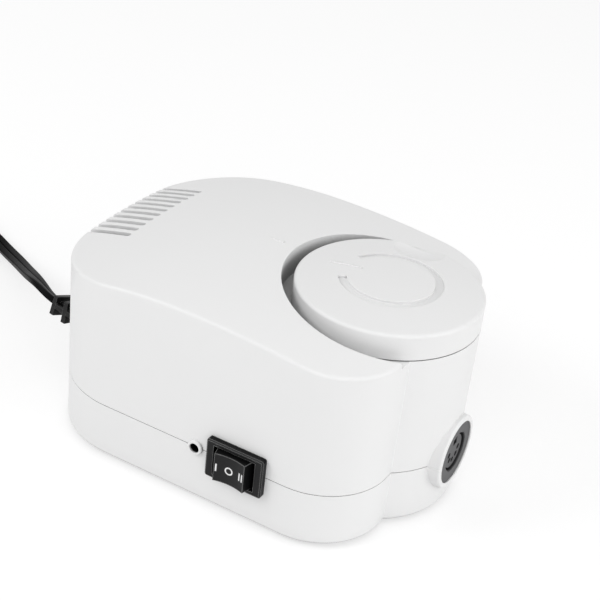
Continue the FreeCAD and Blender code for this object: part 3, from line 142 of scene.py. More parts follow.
def makeGrainGroup():
    # fine moulded texture, and slow drifts of tone and gloss
    group, given, result = openGroup(
        "surfaceGrain",
        [("Place", "NodeSocketVector", None), ("Grain Scale", "NodeSocketFloat", 1500.0),
         ("Drift Scale", "NodeSocketFloat", 25.0), ("Speck", "NodeSocketFloat", 0.3)],
        [("Height", "NodeSocketFloat"), ("Drift", "NodeSocketFloat")])
    fine = put(group, "ShaderNodeTexNoise",
               {"Vector": given["Place"], "Scale": given["Grain Scale"], "Detail": grainLook["fineDetail"]})
    cells = put(group, "ShaderNodeTexVoronoi", {"Vector": given["Place"], "Scale": given["Grain Scale"]})
    height = calc(group, "MULTIPLY_ADD", cells.outputs["Distance"], given["Speck"], fine.outputs["Fac"])
    drift = put(group, "ShaderNodeTexNoise",
                {"Vector": given["Place"], "Scale": given["Drift Scale"], "Detail": grainLook["driftDetail"],
                 "Roughness": grainLook["driftRoughness"]})
    group.links.new(height, result["Height"])
    group.links.new(drift.outputs["Fac"], result["Drift"])
    return group


# how alike the softened and true normals are where the edge mark starts and where it is full, and its patches
edgeMarkLook = {"samples": 6, "starts": 0.998, "full": 0.93, "patchScale": 260.0, "patchDetail": 3.0,
             "patchFrom": 0.35, "patchTo": 0.7}


def makeEdgeGroup():
    # softened edges, and a mask along them: wear where hands and handling rub them on most finishes, and a
    # painted highlight on the white shell and knob, the switch, the socket face, the relief and the cord
    group, given, result = openGroup(
        "edgeWearAndHighlight",
        [("Place", "NodeSocketVector", None), ("Round", "NodeSocketFloat", 0.0003),
         ("Break Up", "NodeSocketFloat", 0.5)],
        [("Wear And Highlight", "NodeSocketFloat"), ("Normal", "NodeSocketVector")])
    rounded = put(group, "ShaderNodeBevel", {"Radius": given["Round"]}, samples=edgeMarkLook["samples"])
    true = put(group, "ShaderNodeNewGeometry")
    alike = put(group, "ShaderNodeVectorMath", {0: rounded.outputs[0], 1: true.outputs["Normal"]},
                operation="DOT_PRODUCT")
    bend = put(group, "ShaderNodeMapRange", {0: alike.outputs["Value"], 1: edgeMarkLook["starts"],
                                               2: edgeMarkLook["full"], 3: 0.0, 4: 1.0},
               interpolation_type="SMOOTHSTEP")
    patches = put(group, "ShaderNodeTexNoise", {"Vector": given["Place"], "Scale": edgeMarkLook["patchScale"],
                                                "Detail": edgeMarkLook["patchDetail"]})
    broken = put(group, "ShaderNodeMapRange", {0: patches.outputs["Fac"], 1: edgeMarkLook["patchFrom"],
                                               2: edgeMarkLook["patchTo"], 3: 0.0, 4: 1.0})
    keep = calc(group, "SUBTRACT", 1.0, given["Break Up"])
    patchy = calc(group, "MULTIPLY_ADD", broken.outputs[0], given["Break Up"], keep)
    wearAndHighlight = calc(group, "MULTIPLY", bend.outputs[0], patchy, clamp=True)
    group.links.new(wearAndHighlight, result["Wear And Highlight"])
    group.links.new(rounded.outputs[0], result["Normal"])
    return group


def makeBandGroup():
    # even stripes across one direction, for laminations, tape laps and drawn metal
    group, given, result = openGroup(
        "evenBands",
        [("Place", "NodeSocketVector", None), ("Along", "NodeSocketVector", (1.0, 0.0, 0.0)),
         ("Pitch", "NodeSocketFloat", 0.001), ("Line Share", "NodeSocketFloat", 0.2)],
        [("Line", "NodeSocketFloat"), ("Band", "NodeSocketFloat")])
    reach = put(group, "ShaderNodeVectorMath", {0: given["Place"], 1: given["Along"]},
                operation="DOT_PRODUCT")
    steps = calc(group, "DIVIDE", reach.outputs["Value"], given["Pitch"])
    saw = calc(group, "FRACT", steps)
    centred = calc(group, "ABSOLUTE", calc(group, "SUBTRACT", saw, 0.5))
    edge = calc(group, "SUBTRACT", 0.5, given["Line Share"])
    line = put(group, "ShaderNodeMapRange", {0: centred, 1: edge, 2: 0.5, 3: 0.0, 4: 1.0},
               interpolation_type="SMOOTHSTEP")
    number = put(group, "ShaderNodeTexWhiteNoise", {"W": calc(group, "FLOOR", steps)}, noise_dimensions="1D")
    group.links.new(line.outputs[0], result["Line"])
    group.links.new(number.outputs["Value"], result["Band"])
    return group


gapShadeLook = {"samples": 8, "deepest": 0.95}


def makeGapShadeGroup():
    # painted shade: how deep a spot sits in a gap or corner, darkened where light doesn't reach
    group, given, result = openGroup(
        "paintedGapShade",
        [("Reach", "NodeSocketFloat", 0.006), ("Start", "NodeSocketFloat", 0.35)],
        [("Depth", "NodeSocketFloat")])
    openness = put(group, "ShaderNodeAmbientOcclusion", {"Distance": given["Reach"]},
                   samples=gapShadeLook["samples"])
    depth = put(group, "ShaderNodeMapRange",
                {0: calc(group, "SUBTRACT", 1.0, openness.outputs["AO"]), 1: given["Start"],
                 2: gapShadeLook["deepest"], 3: 0.0, 4: 1.0}, interpolation_type="SMOOTHSTEP")
    group.links.new(depth.outputs[0], result["Depth"])
    return group


# how far a face may turn from the front before the painted light fades and ends
facingLightLook = {"ends": 0.45, "fades": 0.8, "driftShare": 0.3, "least": 0.8}


def makeFacingLightGroup():
    # painted light: the share of a paler tone on faces that look one way, as the light falls on them
    group, given, result = openGroup(
        "paintedFacingLight",
        [("Facing", "NodeSocketVector", None), ("Side", "NodeSocketVector", (0.0, -1.0, 0.0)),
         ("Drift", "NodeSocketFloat", 0.5)],
        [("Share", "NodeSocketFloat")])
    towards = put(group, "ShaderNodeVectorMath", {0: given["Facing"], 1: given["Side"]},
                  operation="DOT_PRODUCT")
    share = put(group, "ShaderNodeMapRange", {0: towards.outputs["Value"], 1: facingLightLook["ends"],
                                              2: facingLightLook["fades"], 3: 0.0, 4: 1.0},
                interpolation_type="SMOOTHSTEP")
    uneven = calc(group, "MULTIPLY_ADD", given["Drift"], facingLightLook["driftShare"], facingLightLook["least"])
    group.links.new(calc(group, "MULTIPLY", share.outputs[0], uneven, clamp=True), result["Share"])
    return group


grainGroup = makeGrainGroup()
edgeGroup = makeEdgeGroup()
facingLightGroup = makeFacingLightGroup()
gapShadeGroup = makeGapShadeGroup()
bandGroup = makeBandGroup()


# colour and how far it drifts; edge colour, how strongly, how wide (edge, mm) and how patchy (broken), which
# is wear on most finishes and a painted highlight on the white shell and knob, the switch, the socket face,
# the relief and the cord;
# gloss range; grain and its depth; painted shade in gaps, its reach (m) and start; painted light as a paler
# tone on faces that look to the front; sheen is the specular level
finishes = {
    "shell_white": dict(colour=(0.79, 0.79, 0.79), drift=0.012, wearAndHighlight=(0.97, 0.97, 0.97), edgeStrength=0.85,
                        gloss=(0.33, 0.40), grain=1400, depth=0.02, edge=0.4, gapShade=0.88, reach=0.013,
                        start=0.42, sheen=0.3, broken=0.15),
    "knob_white": dict(colour=(0.78, 0.78, 0.78), drift=0.01, wearAndHighlight=(0.97, 0.97, 0.97), edgeStrength=0.95,
                       gloss=(0.30, 0.37), grain=1700, depth=0.015, edge=0.42, gapShade=0.85, reach=0.0011,
                       start=0.33, sheen=0.3, broken=0.1),
    "bright_steel": dict(colour=(0.62, 0.63, 0.65), drift=0.12, wearAndHighlight=(0.8, 0.8, 0.8), edgeStrength=0.6, metal=1.0,
                         gloss=(0.22, 0.38), grain=2400, depth=0.08, edge=0.15, bands=((0, 0, 1), 0.12)),
    # black steel, so dark that its tone is also painted shade in the socket's narrow gap
    "dark_steel": dict(colour=(0.05, 0.05, 0.052), drift=0.2, wearAndHighlight=(0.25, 0.25, 0.26), edgeStrength=0.5, metal=0.6,
                       gloss=(0.3, 0.45), grain=2400, depth=0.06, edge=0.1, gapShade=0.9, reach=0.004,
                       start=0.2),
    "tinned_brass": dict(colour=(0.62, 0.57, 0.46), drift=0.15, wearAndHighlight=(0.72, 0.56, 0.28), edgeStrength=0.8, metal=1.0,
                         gloss=(0.25, 0.42), grain=2600, depth=0.08, edge=0.1, gapShade=0.95, reach=0.004,
                         start=0.2),
    "switch_black": dict(colour=(0.0035, 0.0035, 0.0037), drift=0.15, wearAndHighlight=(0.24, 0.24, 0.24), edgeStrength=0.8,
                         gloss=(0.26, 0.34), grain=2200, depth=0.04, edge=0.45, gapShade=0.8, reach=0.002,
                         broken=0.2, sheen=0.1, facingLight=((0, -1, 0), (0.017, 0.017, 0.0175))),
    "mark_white": dict(colour=(0.84, 0.84, 0.84), drift=0.03, wearAndHighlight=(0.75, 0.75, 0.75), edgeStrength=0.4,
                       gloss=(0.42, 0.5), grain=2400, depth=0.04, edge=0.05),
    "socket_grey": dict(colour=(0.078, 0.078, 0.081), drift=0.12, wearAndHighlight=(0.30, 0.30, 0.30), edgeStrength=0.8,
                        gloss=(0.36, 0.46), grain=2000, depth=0.05, edge=0.2, gapShade=0.97, reach=0.004,
                        start=0.2, sheen=0.16),
    "core_steel": dict(colour=(0.22, 0.22, 0.24), drift=0.25, wearAndHighlight=(0.5, 0.5, 0.5), edgeStrength=0.5, metal=0.85,
                       gloss=(0.35, 0.6), grain=1200, depth=0.12, edge=0.2, bands=((1, 0, 0), 0.5)),
    "bobbin_plastic": dict(colour=(0.78, 0.76, 0.69), drift=0.06, wearAndHighlight=(0.85, 0.84, 0.8), edgeStrength=0.3,
                           gloss=(0.4, 0.5), grain=1500, depth=0.05, edge=0.2),
    "winding_tape": dict(colour=(0.70, 0.52, 0.07), drift=0.12, wearAndHighlight=(0.8, 0.66, 0.2), edgeStrength=0.3,
                         gloss=(0.22, 0.34), grain=900, depth=0.05, edge=0.3, bands=((0, 0, 1), 4.0)),
    "board_green": dict(colour=(0.03, 0.17, 0.07), drift=0.2, wearAndHighlight=(0.3, 0.33, 0.15), edgeStrength=0.6,
                        gloss=(0.25, 0.4), grain=900, depth=0.08, edge=0.15, bands=((1, 1, 0), 2.2)),
    "can_sleeve": dict(colour=(0.02, 0.03, 0.09), drift=0.1, wearAndHighlight=(0.5, 0.5, 0.5), edgeStrength=0.4,
                       gloss=(0.2, 0.3), grain=1500, depth=0.03, edge=0.2, bands=((0, 1, 0), 6.5)),
    "sink_aluminium": dict(colour=(0.70, 0.70, 0.72), drift=0.1, wearAndHighlight=(0.85, 0.85, 0.85), edgeStrength=0.6, metal=1.0,
                           gloss=(0.32, 0.48), grain=1800, depth=0.08, edge=0.12, bands=((0, 0, 1), 0.3)),
    "resistor_body": dict(colour=(0.62, 0.50, 0.32), drift=0.12, wearAndHighlight=(0.7, 0.6, 0.45), edgeStrength=0.3,
                          gloss=(0.25, 0.35), grain=1500, depth=0.04, edge=0.2, bands=((0, 1, 0), 1.4)),
    "foot_rubber": dict(colour=(0.03, 0.03, 0.031), drift=0.25, wearAndHighlight=(0.08, 0.08, 0.08), edgeStrength=0.6,
                        gloss=(0.7, 0.82), grain=900, depth=0.15, edge=0.3, sheen=0.3),
    "lead_pvc": dict(colour=(0.42, 0.035, 0.025), drift=0.12, wearAndHighlight=(0.5, 0.08, 0.06), edgeStrength=0.2,
                     gloss=(0.35, 0.45), grain=1500, depth=0.05, edge=0.1),
    "cord_pvc": dict(colour=(0.0035, 0.0035, 0.0037), drift=0.2, wearAndHighlight=(0.06, 0.06, 0.06), edgeStrength=0.12,
                     gloss=(0.3, 0.38), grain=1300, depth=0.02, edge=0.15, gapShade=0.9, reach=0.003,
                     sheen=0.02),
    "relief_pvc": dict(colour=(0.009, 0.009, 0.0093), drift=0.2, wearAndHighlight=(0.15, 0.15, 0.15), edgeStrength=0.75,
                       gloss=(0.34, 0.44), grain=1500, depth=0.03, edge=0.22, gapShade=0.85, reach=0.003,
                       sheen=0.2),
    "pin_nickel": dict(colour=(0.72, 0.71, 0.68), drift=0.06, wearAndHighlight=(0.62, 0.52, 0.34), edgeStrength=0.4, metal=1.0,
                       gloss=(0.10, 0.2), grain=2600, depth=0.03, edge=0.1, bands=((1, 0, 0), 0.2)),
}


def colourOf(values, level=1.0):
    return tuple(min(1.0, v * level) for v in values) + (1.0,)


finishLook = {"driftFrom": 0.3, "driftTo": 0.7, "bandShade": 0.3, "bandTone": 0.55, "bandDent": -0.5,
              "gapShadeTone": 0.15, "bumpHeight": 0.0001, "refraction": 1.5}


def glossFrom(tree, grain, span):
    # roughness follows the slow drift of the surface
    rough = put(tree, "ShaderNodeMapRange",
                {0: grain.outputs["Drift"], 1: finishLook["driftFrom"], 2: finishLook["driftTo"],
                 3: span[0], 4: span[1]})
    return rough.outputs[0]


def makeFinish(slotName, look):
    # one finish from its values: tone, texture, painted light on front faces, stripes, edge wear and painted
    # edge highlights, painted shade in gaps, gloss and fine bump
    material = bpy.data.materials.new(slotName)
    material.use_nodes = True
    tree = material.node_tree
    tree.nodes.clear()
    place = put(tree, "ShaderNodeTexCoord").outputs["Object"]
    grain = put(tree, "ShaderNodeGroup", node_tree=grainGroup)
    edge = put(tree, "ShaderNodeGroup", node_tree=edgeGroup)
    tree.links.new(place, grain.inputs["Place"])
    tree.links.new(place, edge.inputs["Place"])
    grain.inputs["Grain Scale"].default_value = look["grain"]
    edge.inputs["Round"].default_value = look["edge"] * mm
    edge.inputs["Break Up"].default_value = look.get("broken", 0.5)
    drift = look["drift"]
    tone = blendColour(tree, grain.outputs["Drift"], colourOf(look["colour"], 1 - drift),
                       colourOf(look["colour"], 1 + drift))
    height = grain.outputs["Height"]
    if "facingLight" in look:
        # painted light: faces that look to the front are paler than the top and sides, as the light falls on
        # them
        side, pale = look["facingLight"]
        facingLit = put(tree, "ShaderNodeGroup", node_tree=facingLightGroup)
        facingLit.inputs["Side"].default_value = side
        tree.links.new(put(tree, "ShaderNodeTexCoord").outputs["Normal"], facingLit.inputs["Facing"])
        tree.links.new(grain.outputs["Drift"], facingLit.inputs["Drift"])
        tone = blendColour(tree, facingLit.outputs["Share"], tone, colourOf(pale))
    if "bands" in look:
        along, pitch = look["bands"]
        bands = put(tree, "ShaderNodeGroup", node_tree=bandGroup)
        tree.links.new(place, bands.inputs["Place"])
        bands.inputs["Along"].default_value = along
        bands.inputs["Pitch"].default_value = pitch * mm
        shade = calc(tree, "MULTIPLY", bands.outputs["Band"], finishLook["bandShade"])
        tone = blendColour(tree, shade, tone, colourOf(look["colour"], finishLook["bandTone"]))
        height = calc(tree, "MULTIPLY_ADD", bands.outputs["Line"], finishLook["bandDent"], height)
    # edges take their own colour: wear on most finishes, a painted highlight on the white and black plastics,
    # the relief and the cord
    tone = blendColour(tree, calc(tree, "MULTIPLY", edge.outputs["Wear And Highlight"], look["edgeStrength"]), tone,
                       colourOf(look["wearAndHighlight"]))
    # painted shade: the tone darkens in gaps and corners
    if "gapShade" in look:
        gapShadeNode = put(tree, "ShaderNodeGroup", node_tree=gapShadeGroup)
        gapShadeNode.inputs["Reach"].default_value = look["reach"]
        gapShadeNode.inputs["Start"].default_value = look.get("start", 0.35)
        tone = blendColour(tree, calc(tree, "MULTIPLY", gapShadeNode.outputs["Depth"], look["gapShade"]), tone,
                           colourOf(look["colour"], finishLook["gapShadeTone"]))
    bump = put(tree, "ShaderNodeBump", {"Strength": look["depth"], "Distance": finishLook["bumpHeight"],
                                        "Height": height, "Normal": edge.outputs["Normal"]})
    surface = put(tree, "ShaderNodeBsdfPrincipled", {
        "Base Color": tone, "Roughness": glossFrom(tree, grain, look["gloss"]),
        "Metallic": look.get("metal", 0.0), "Specular IOR Level": look.get("sheen", 0.5),
        "Normal": bump.outputs[0], "IOR": finishLook["refraction"]})
    put(tree, "ShaderNodeOutputMaterial", {"Surface": surface.outputs[0]})
    return material


glassLook = {"thin": (0.95, 0.97, 0.97), "thick": (0.86, 0.9, 0.9), "gloss": (0.04, 0.1), "clear": 0.9}


def makeGlass():
    # the fuse's tube, clear with a faint drift of tone
    material = bpy.data.materials.new("fuse_glass")
    material.use_nodes = True
    tree = material.node_tree
    tree.nodes.clear()
    place = put(tree, "ShaderNodeTexCoord").outputs["Object"]
    grain = put(tree, "ShaderNodeGroup", node_tree=grainGroup)
    tree.links.new(place, grain.inputs["Place"])
    tone = blendColour(tree, grain.outputs["Drift"], colourOf(glassLook["thick"]), colourOf(glassLook["thin"]))
    surface = put(tree, "ShaderNodeBsdfPrincipled", {
        "Base Color": tone, "Roughness": glossFrom(tree, grain, glassLook["gloss"]),
        "Transmission Weight": glassLook["clear"], "IOR": finishLook["refraction"]})
    put(tree, "ShaderNodeOutputMaterial", {"Surface": surface.outputs[0]})
    return material


# every solids group takes the finish of its own slot
materials = {slotName: makeFinish(slotName, look) for slotName, look in finishes.items()}
materials["fuse_glass"] = makeGlass()
for subpart in frame["record"]["subparts"]:
    node = nodes[subpart["node"]]
    node.data.materials.clear()
    node.data.materials.append(materials[subpart["material_slot"]])
print("finishes made:", len(materials))


# mains cord: its section, its way from the relief to the table, and a coil of two layers (mm)
cordSizes = {
    "width": 5.4, "thickness": 2.7, "lobePower": 0.36, "webAngle": 0.2, "lobePoints": 24, "lobeLean": 5.0,
    "start": (-127.047, -9.409, 21.4), "heading": (-0.97815, 0.20791), "lead": 5.5,
    "route": [(-147.5, 2.0, 18.4), (-161.0, 12.6, 12.7), (-176.0, 23.9, 7.5), (-190.0, 33.2, 3.6),
              (-204.0, 40.6, 2.7), (-219.0, 46.0, 2.7), (-231.0, 46.0, 2.7)],
    "leadIn": 5.0, "leadOut": 12.0, "turnsIn": 2.5, "climb": 0.5, "turnsOut": 2.25,
    "innerRadius": 23.5, "pitch": 6.1, "rise": 6.0,
    "pointsPerTurn": 14,
    "twist": [(0, -36), (8, -36), (40, 2), (70, 14), (90, 14), (140, 90), (1200, 90)],
}


def coilPoints(sizes):
    # in, up a layer, and out again; control points stand a little outside the turns
    inside, pitch = sizes["innerRadius"], sizes["pitch"]
    outer = inside + pitch * sizes["turnsIn"]
    middleX = sizes["route"][-1][0] - sizes["leadIn"]
    middleY = sizes["route"][-1][1] - outer
    low = sizes["route"][-1][2]
    swell = 1 / math.cos(math.pi / sizes["pointsPerTurn"])
    total = sizes["turnsIn"] + sizes["climb"] + sizes["turnsOut"]
    count = round(total * sizes["pointsPerTurn"])
    points = []
    for index in range(count + 1):
        turns = total * index / count
        share = (turns - sizes["turnsIn"]) / sizes["climb"]
        if share <= 0:
            radius, lift = outer - pitch * turns, 0.0
        elif share < 1:
            radius = inside - pitch * share * (1 - share) / 2
            lift = sizes["rise"] * (1 - math.cos(math.pi * share)) / 2
        else:
            radius, lift = inside + pitch * (share - 1) * sizes["climb"], sizes["rise"]
        angle = math.radians(90 + 360 * turns)
        points.append(Vector((middleX + swell * radius * math.cos(angle),
                              middleY + swell * radius * math.sin(angle), low + lift)))
    leaving = math.radians(180 + 360 * total)
    points.append(points[-1] + Vector((math.cos(leaving), math.sin(leaving), 0.0)) * sizes["leadOut"])
    return points


def cordControls(sizes):
    # control points from the relief's end to the coil's last turn
    start = Vector(sizes["start"])
    heading = Vector((*sizes["heading"], 0.0))
    places = [start, start + heading * sizes["lead"]]
    places += [Vector(place) for place in sizes["route"][:-1]]
    places += [Vector(place) for place in coilPoints(sizes)]
    return [Vector(at(*place)) for place in places]


def splineLine(name, places, resolution=12):
    # the smooth line through a route, read back from its own spline
    curve = bpy.data.curves.new(name, "CURVE")
    curve.dimensions = "3D"
    spline = curve.splines.new("NURBS")
    spline.points.add(len(places) - 1)
    for point, place in zip(spline.points, places):
        point.co = (*place, 1.0)
    spline.order_u = 3
    spline.use_endpoint_u = True
    spline.resolution_u = resolution
    holder = bpy.data.objects.new(name, curve)
    bpy.context.scene.collection.objects.link(holder)
    bpy.context.view_layer.update()
    line = bpy.data.meshes.new_from_object(holder)
    points = [vertex.co.copy() for vertex in line.vertices]
    bpy.data.objects.remove(holder)
    bpy.data.curves.remove(curve)
    bpy.data.meshes.remove(line)
    return points


def easeBetween(stops, distance):
    # a value that eases from stop to stop, such as the cord's twist along its way
    for (a, first), (b, second) in zip(stops, stops[1:]):
        if distance <= b:
            share = (distance - a) / (b - a)
            share = share * share * (3 - 2 * share)
            return first + (second - first) * share
    return stops[-1][1]


def twinSection(sizes):
    # outline of a flat twin cord: two squarish lobes and a web
    half = sizes["thickness"] / 2
    offset = sizes["width"] / 2 - half
    limit = math.pi - sizes["webAngle"]
    count = sizes["lobePoints"]

    def swollen(value):
        return math.copysign(abs(value) ** sizes["lobePower"], value)

    lean = math.radians(sizes["lobeLean"])
    section = []
    for lobe in (1, -1):
        for index in range(count):
            angle = -limit + 2 * limit * index / (count - 1)
            out, rise = half * swollen(math.cos(angle)), half * swollen(math.sin(angle))
            across = offset + out * math.cos(lean) + (abs(rise) - half) * math.sin(lean)
            upward = rise * math.cos(lean) - math.copysign(out, rise) * math.sin(lean)
            section.append((lobe * across * mm, lobe * upward * mm))
    trim = sizes["width"] / 2 * mm / max(x for x, y in section)
    return [(x * trim, y) for x, y in section]


def sweepSection(shell, line, section, twistAt):
    # carries the section along the line, turned by its twist, and closes both ends
    rings = []
    travelled = 0.0
    for index, place in enumerate(line):
        before = line[max(index - 1, 0)]
        after = line[min(index + 1, len(line) - 1)]
        if index:
            travelled += (place - line[index - 1]).length
        heading = (after - before).normalized()
        level = Vector((heading.y, -heading.x, 0.0)).normalized()
        upright = level.cross(heading)
        if upright.z < 0:
            upright.negate()
        tilt = math.radians(twistAt(travelled / mm))
        across = math.cos(tilt) * level + math.sin(tilt) * upright
        flat = heading.cross(across)
        corners = [place + across * x + flat * y for x, y in section]
        sink = Vector((0.0, 0.0, min(0.0, min(corner.z for corner in corners))))
        rings.append([shell.verts.new(corner - sink) for corner in corners])  # it rests on the table
    count = len(section)
    for first, second in zip(rings, rings[1:]):
        for k in range(count):
            shell.faces.new((first[k], first[(k + 1) % count], second[(k + 1) % count], second[k]))
    shell.faces.new(rings[0])
    shell.faces.new(list(reversed(rings[-1])))
    bmesh.ops.recalc_face_normals(shell, faces=shell.faces)


cordLine = splineLine("cordRoute", cordControls(cordSizes))
supplyCord = meshPiece(
    "supplyCord",
    lambda shell: sweepSection(shell, cordLine, twinSection(cordSizes),
                               lambda distance: easeBetween(cordSizes["twist"], distance)),
    "cord_pvc", smoothAngle=50.0)
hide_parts("cord", "cord_coil")


def openGeometry(name, sizes):
    # a geometry tree that takes these sizes and a finish by name
    tree = bpy.data.node_groups.new(name, "GeometryNodeTree")
    tree.is_modifier = True
    tree.interface.new_socket(name="Geometry", in_out="OUTPUT", socket_type="NodeSocketGeometry")
    kinds = {tuple: "NodeSocketVector", int: "NodeSocketInt", float: "NodeSocketFloat"}
    for label, value in sizes.items():
        tree.interface.new_socket(name=label, in_out="INPUT", socket_type=kinds[type(value)])
    tree.interface.new_socket(name="Finish", in_out="INPUT", socket_type="NodeSocketMaterial")
    return tree, tree.nodes.new("NodeGroupInput").outputs


def closeGeometry(tree, shape, finish):
    real = put(tree, "GeometryNodeRealizeInstances", {0: shape})
    dressed = put(tree, "GeometryNodeSetMaterial", {"Geometry": real.outputs[0], "Material": finish})
    result = tree.nodes.new("NodeGroupOutput")
    tree.links.new(dressed.outputs[0], result.inputs[0])


def grow(name, tree, sizes, slotName, smoothAngle=35.0, finish=None):
    # runs a geometry tree once and keeps what it makes as a plain mesh
    piece = bpy.data.objects.new(name, bpy.data.meshes.new(name + "Seed"))
    bpy.context.scene.collection.objects.link(piece)
    modifier = piece.modifiers.new("maker", "NODES")
    modifier.node_group = tree
    keys = {item.name: item.identifier for item in tree.interface.items_tree if item.in_out == "INPUT"}
    for label, value in sizes.items():
        modifier[keys[label]] = value
    modifier[keys["Finish"]] = materials[finish or slotName]
    seen = bpy.context.evaluated_depsgraph_get()
    mesh = bpy.data.meshes.new_from_object(piece.evaluated_get(seen))
    piece.modifiers.clear()
    piece.data = mesh
    mesh.shade_smooth()
    mesh.set_sharp_from_angle(angle=math.radians(smoothAngle))
    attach(piece, "box")
    print(name, "grown:", len(mesh.polygons), "faces")
    return piece


def joined(tree, *shapes):
    join = tree.nodes.new("GeometryNodeJoinGeometry")
    for shape in shapes:
        tree.links.new(shape, join.inputs[0])
    return join.outputs[0]


def vectorOf(tree, x=0.0, y=0.0, z=0.0):
    return put(tree, "ShaderNodeCombineXYZ", {0: x, 1: y, 2: z}).outputs[0]


def slab(tree, size, place=None):
    # a plain block, moved to its place where it has one
    block = put(tree, "GeometryNodeMeshCube", {"Size": size}).outputs["Mesh"]
    if place is None:
        return block
    return put(tree, "GeometryNodeTransform", {"Geometry": block, "Translation": place}).outputs[0]


def roundedPlate(tree, width, height, corner, shiftX=0.0, shiftY=0.0):
    # the outline of a plate with softened corners
    plate = put(tree, "GeometryNodeCurvePrimitiveQuadrilateral", {0: width, 1: height}).outputs[0]
    plate = put(tree, "GeometryNodeTransform",
                {"Geometry": plate, "Translation": vectorOf(tree, shiftX, shiftY)}).outputs[0]
    filleted = put(tree, "GeometryNodeFilletCurve", {"Curve": plate, "Radius": corner, "Count": 3},
                   mode="POLY")
    return filleted.outputs[0]


def pairPlaces(tree, given):
    # two places at the back of the base and two at its front
    pairs = [put(tree, "GeometryNodeMeshLine", {"Count": 2, "Start Location": given[end + " Near"],
                                                "Offset": given[end + " Far"]}, mode="END_POINTS").outputs[0]
             for end in ("Back", "Front")]
    return joined(tree, *pairs)


# strain relief: plates along a bent core, tied together along both sides
reliefSizes = {
    "Start": at(-106.2, -11.6, 21.4), "Start Handle": at(-113.2, -11.6, 21.4),
    "End Handle": at(-120.20, -10.86, 21.4), "End": at(-127.05, -9.41, 21.4),
    "Twist": 0.36, "First": 2.6 * mm, "Plates": 4, "Plate Width": 9.2 * mm, "Plate Height": 10.0 * mm,
    "Taper": 0.085, "Thickness": 1.8 * mm, "Core Width": 4.6 * mm, "Core Height": 4.0 * mm,
    "Link Width": 1.5 * mm, "Link Height": 2.1 * mm, "Link Rise": -0.1 * mm, "Corner": 0.4 * mm,
    "Steps": 20,
}


def reliefTree(sizes):
    tree, given = openGeometry("strainReliefTree", sizes)
    path = put(tree, "GeometryNodeCurvePrimitiveBezierSegment",
               {"Resolution": given["Steps"], "Start": given["Start"], "Start Handle": given["Start Handle"],
                "End Handle": given["End Handle"], "End": given["End"]}, mode="POSITION").outputs[0]
    path = put(tree, "GeometryNodeSetCurveNormal", {"Curve": path}, mode="Z_UP").outputs[0]
    along = put(tree, "GeometryNodeSplineParameter").outputs["Factor"]
    path = put(tree, "GeometryNodeSetCurveTilt",
               {"Curve": path, "Tilt": calc(tree, "MULTIPLY", along, given["Twist"])}).outputs[0]
    half = calc(tree, "MULTIPLY", given["Thickness"], 0.5)
    side = calc(tree, "MULTIPLY", calc(tree, "SUBTRACT", given["Plate Width"], given["Link Width"]), 0.5)
    core = roundedPlate(tree, given["Core Width"], given["Core Height"], given["Corner"])
    links = [roundedPlate(tree, given["Link Width"], given["Link Height"], given["Corner"],
                          calc(tree, "MULTIPLY", side, way), given["Link Rise"]) for way in (-1.0, 1.0)]
    spine = put(tree, "GeometryNodeCurveToMesh", {"Curve": path, "Profile Curve": joined(tree, core, *links),
                                                  "Fill Caps": True}).outputs[0]
    inner = put(tree, "GeometryNodeTrimCurve", {"Curve": path}, mode="LENGTH")
    whole = put(tree, "GeometryNodeCurveLength", {"Curve": path}).outputs[0]
    tree.links.new(given["First"], inner.inputs[4])
    tree.links.new(calc(tree, "SUBTRACT", whole, half), inner.inputs[5])
    spots = put(tree, "GeometryNodeCurveToPoints", {"Curve": inner.outputs[0], "Count": given["Plates"]},
                mode="COUNT")
    stub = put(tree, "GeometryNodeCurvePrimitiveLine",
               {"Start": vectorOf(tree, 0.0, 0.0, calc(tree, "MULTIPLY", half, -1.0)),
                "End": vectorOf(tree, 0.0, 0.0, half)}).outputs[0]
    plate = put(tree, "GeometryNodeCurveToMesh",
                {"Curve": stub, "Fill Caps": True,
                 "Profile Curve": roundedPlate(tree, given["Plate Width"], given["Plate Height"],
                                               given["Corner"])}).outputs[0]
    index = put(tree, "GeometryNodeInputIndex").outputs[0]
    shrink = calc(tree, "SUBTRACT", 1.0, calc(tree, "MULTIPLY", index, given["Taper"]))
    plates = put(tree, "GeometryNodeInstanceOnPoints",
                 {"Points": spots.outputs["Points"], "Instance": plate, "Rotation": spots.outputs["Rotation"],
                  "Scale": vectorOf(tree, 1.0, shrink, 1.0)}).outputs[0]
    closeGeometry(tree, joined(tree, spine, plates), given["Finish"])
    return tree


# the cord's compound, matt from its mould
strainRelief = grow("strainRelief", reliefTree(reliefSizes), reliefSizes, "cord_pvc", finish="relief_pvc")
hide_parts("strain_relief")


# case screws: domed cross heads under the base, threaded shanks up into the upper shell
screwSizes = {
    "Back Near": at(-94.0, -28.0, 3.7), "Back Far": at(-94.0, 28.0, 3.7),
    "Front Near": at(6.0, -38.0, 3.7), "Front Far": at(6.0, 38.0, 3.7),
    "Head Radius": 2.9 * mm, "Head Height": 1.8 * mm, "Dome": 0.45 * mm, "Cross Length": 3.8 * mm,
    "Cross Width": 0.8 * mm, "Cross Depth": 1.0 * mm, "Shank Length": 22.0 * mm, "Shank Radius": 1.12 * mm,
    "Thread Radius": 1.4 * mm, "Turns": 17.0, "Thread Lead": 0.03, "Head Sides": 40, "Shank Sides": 20,
    "Turn Steps": 18,
}


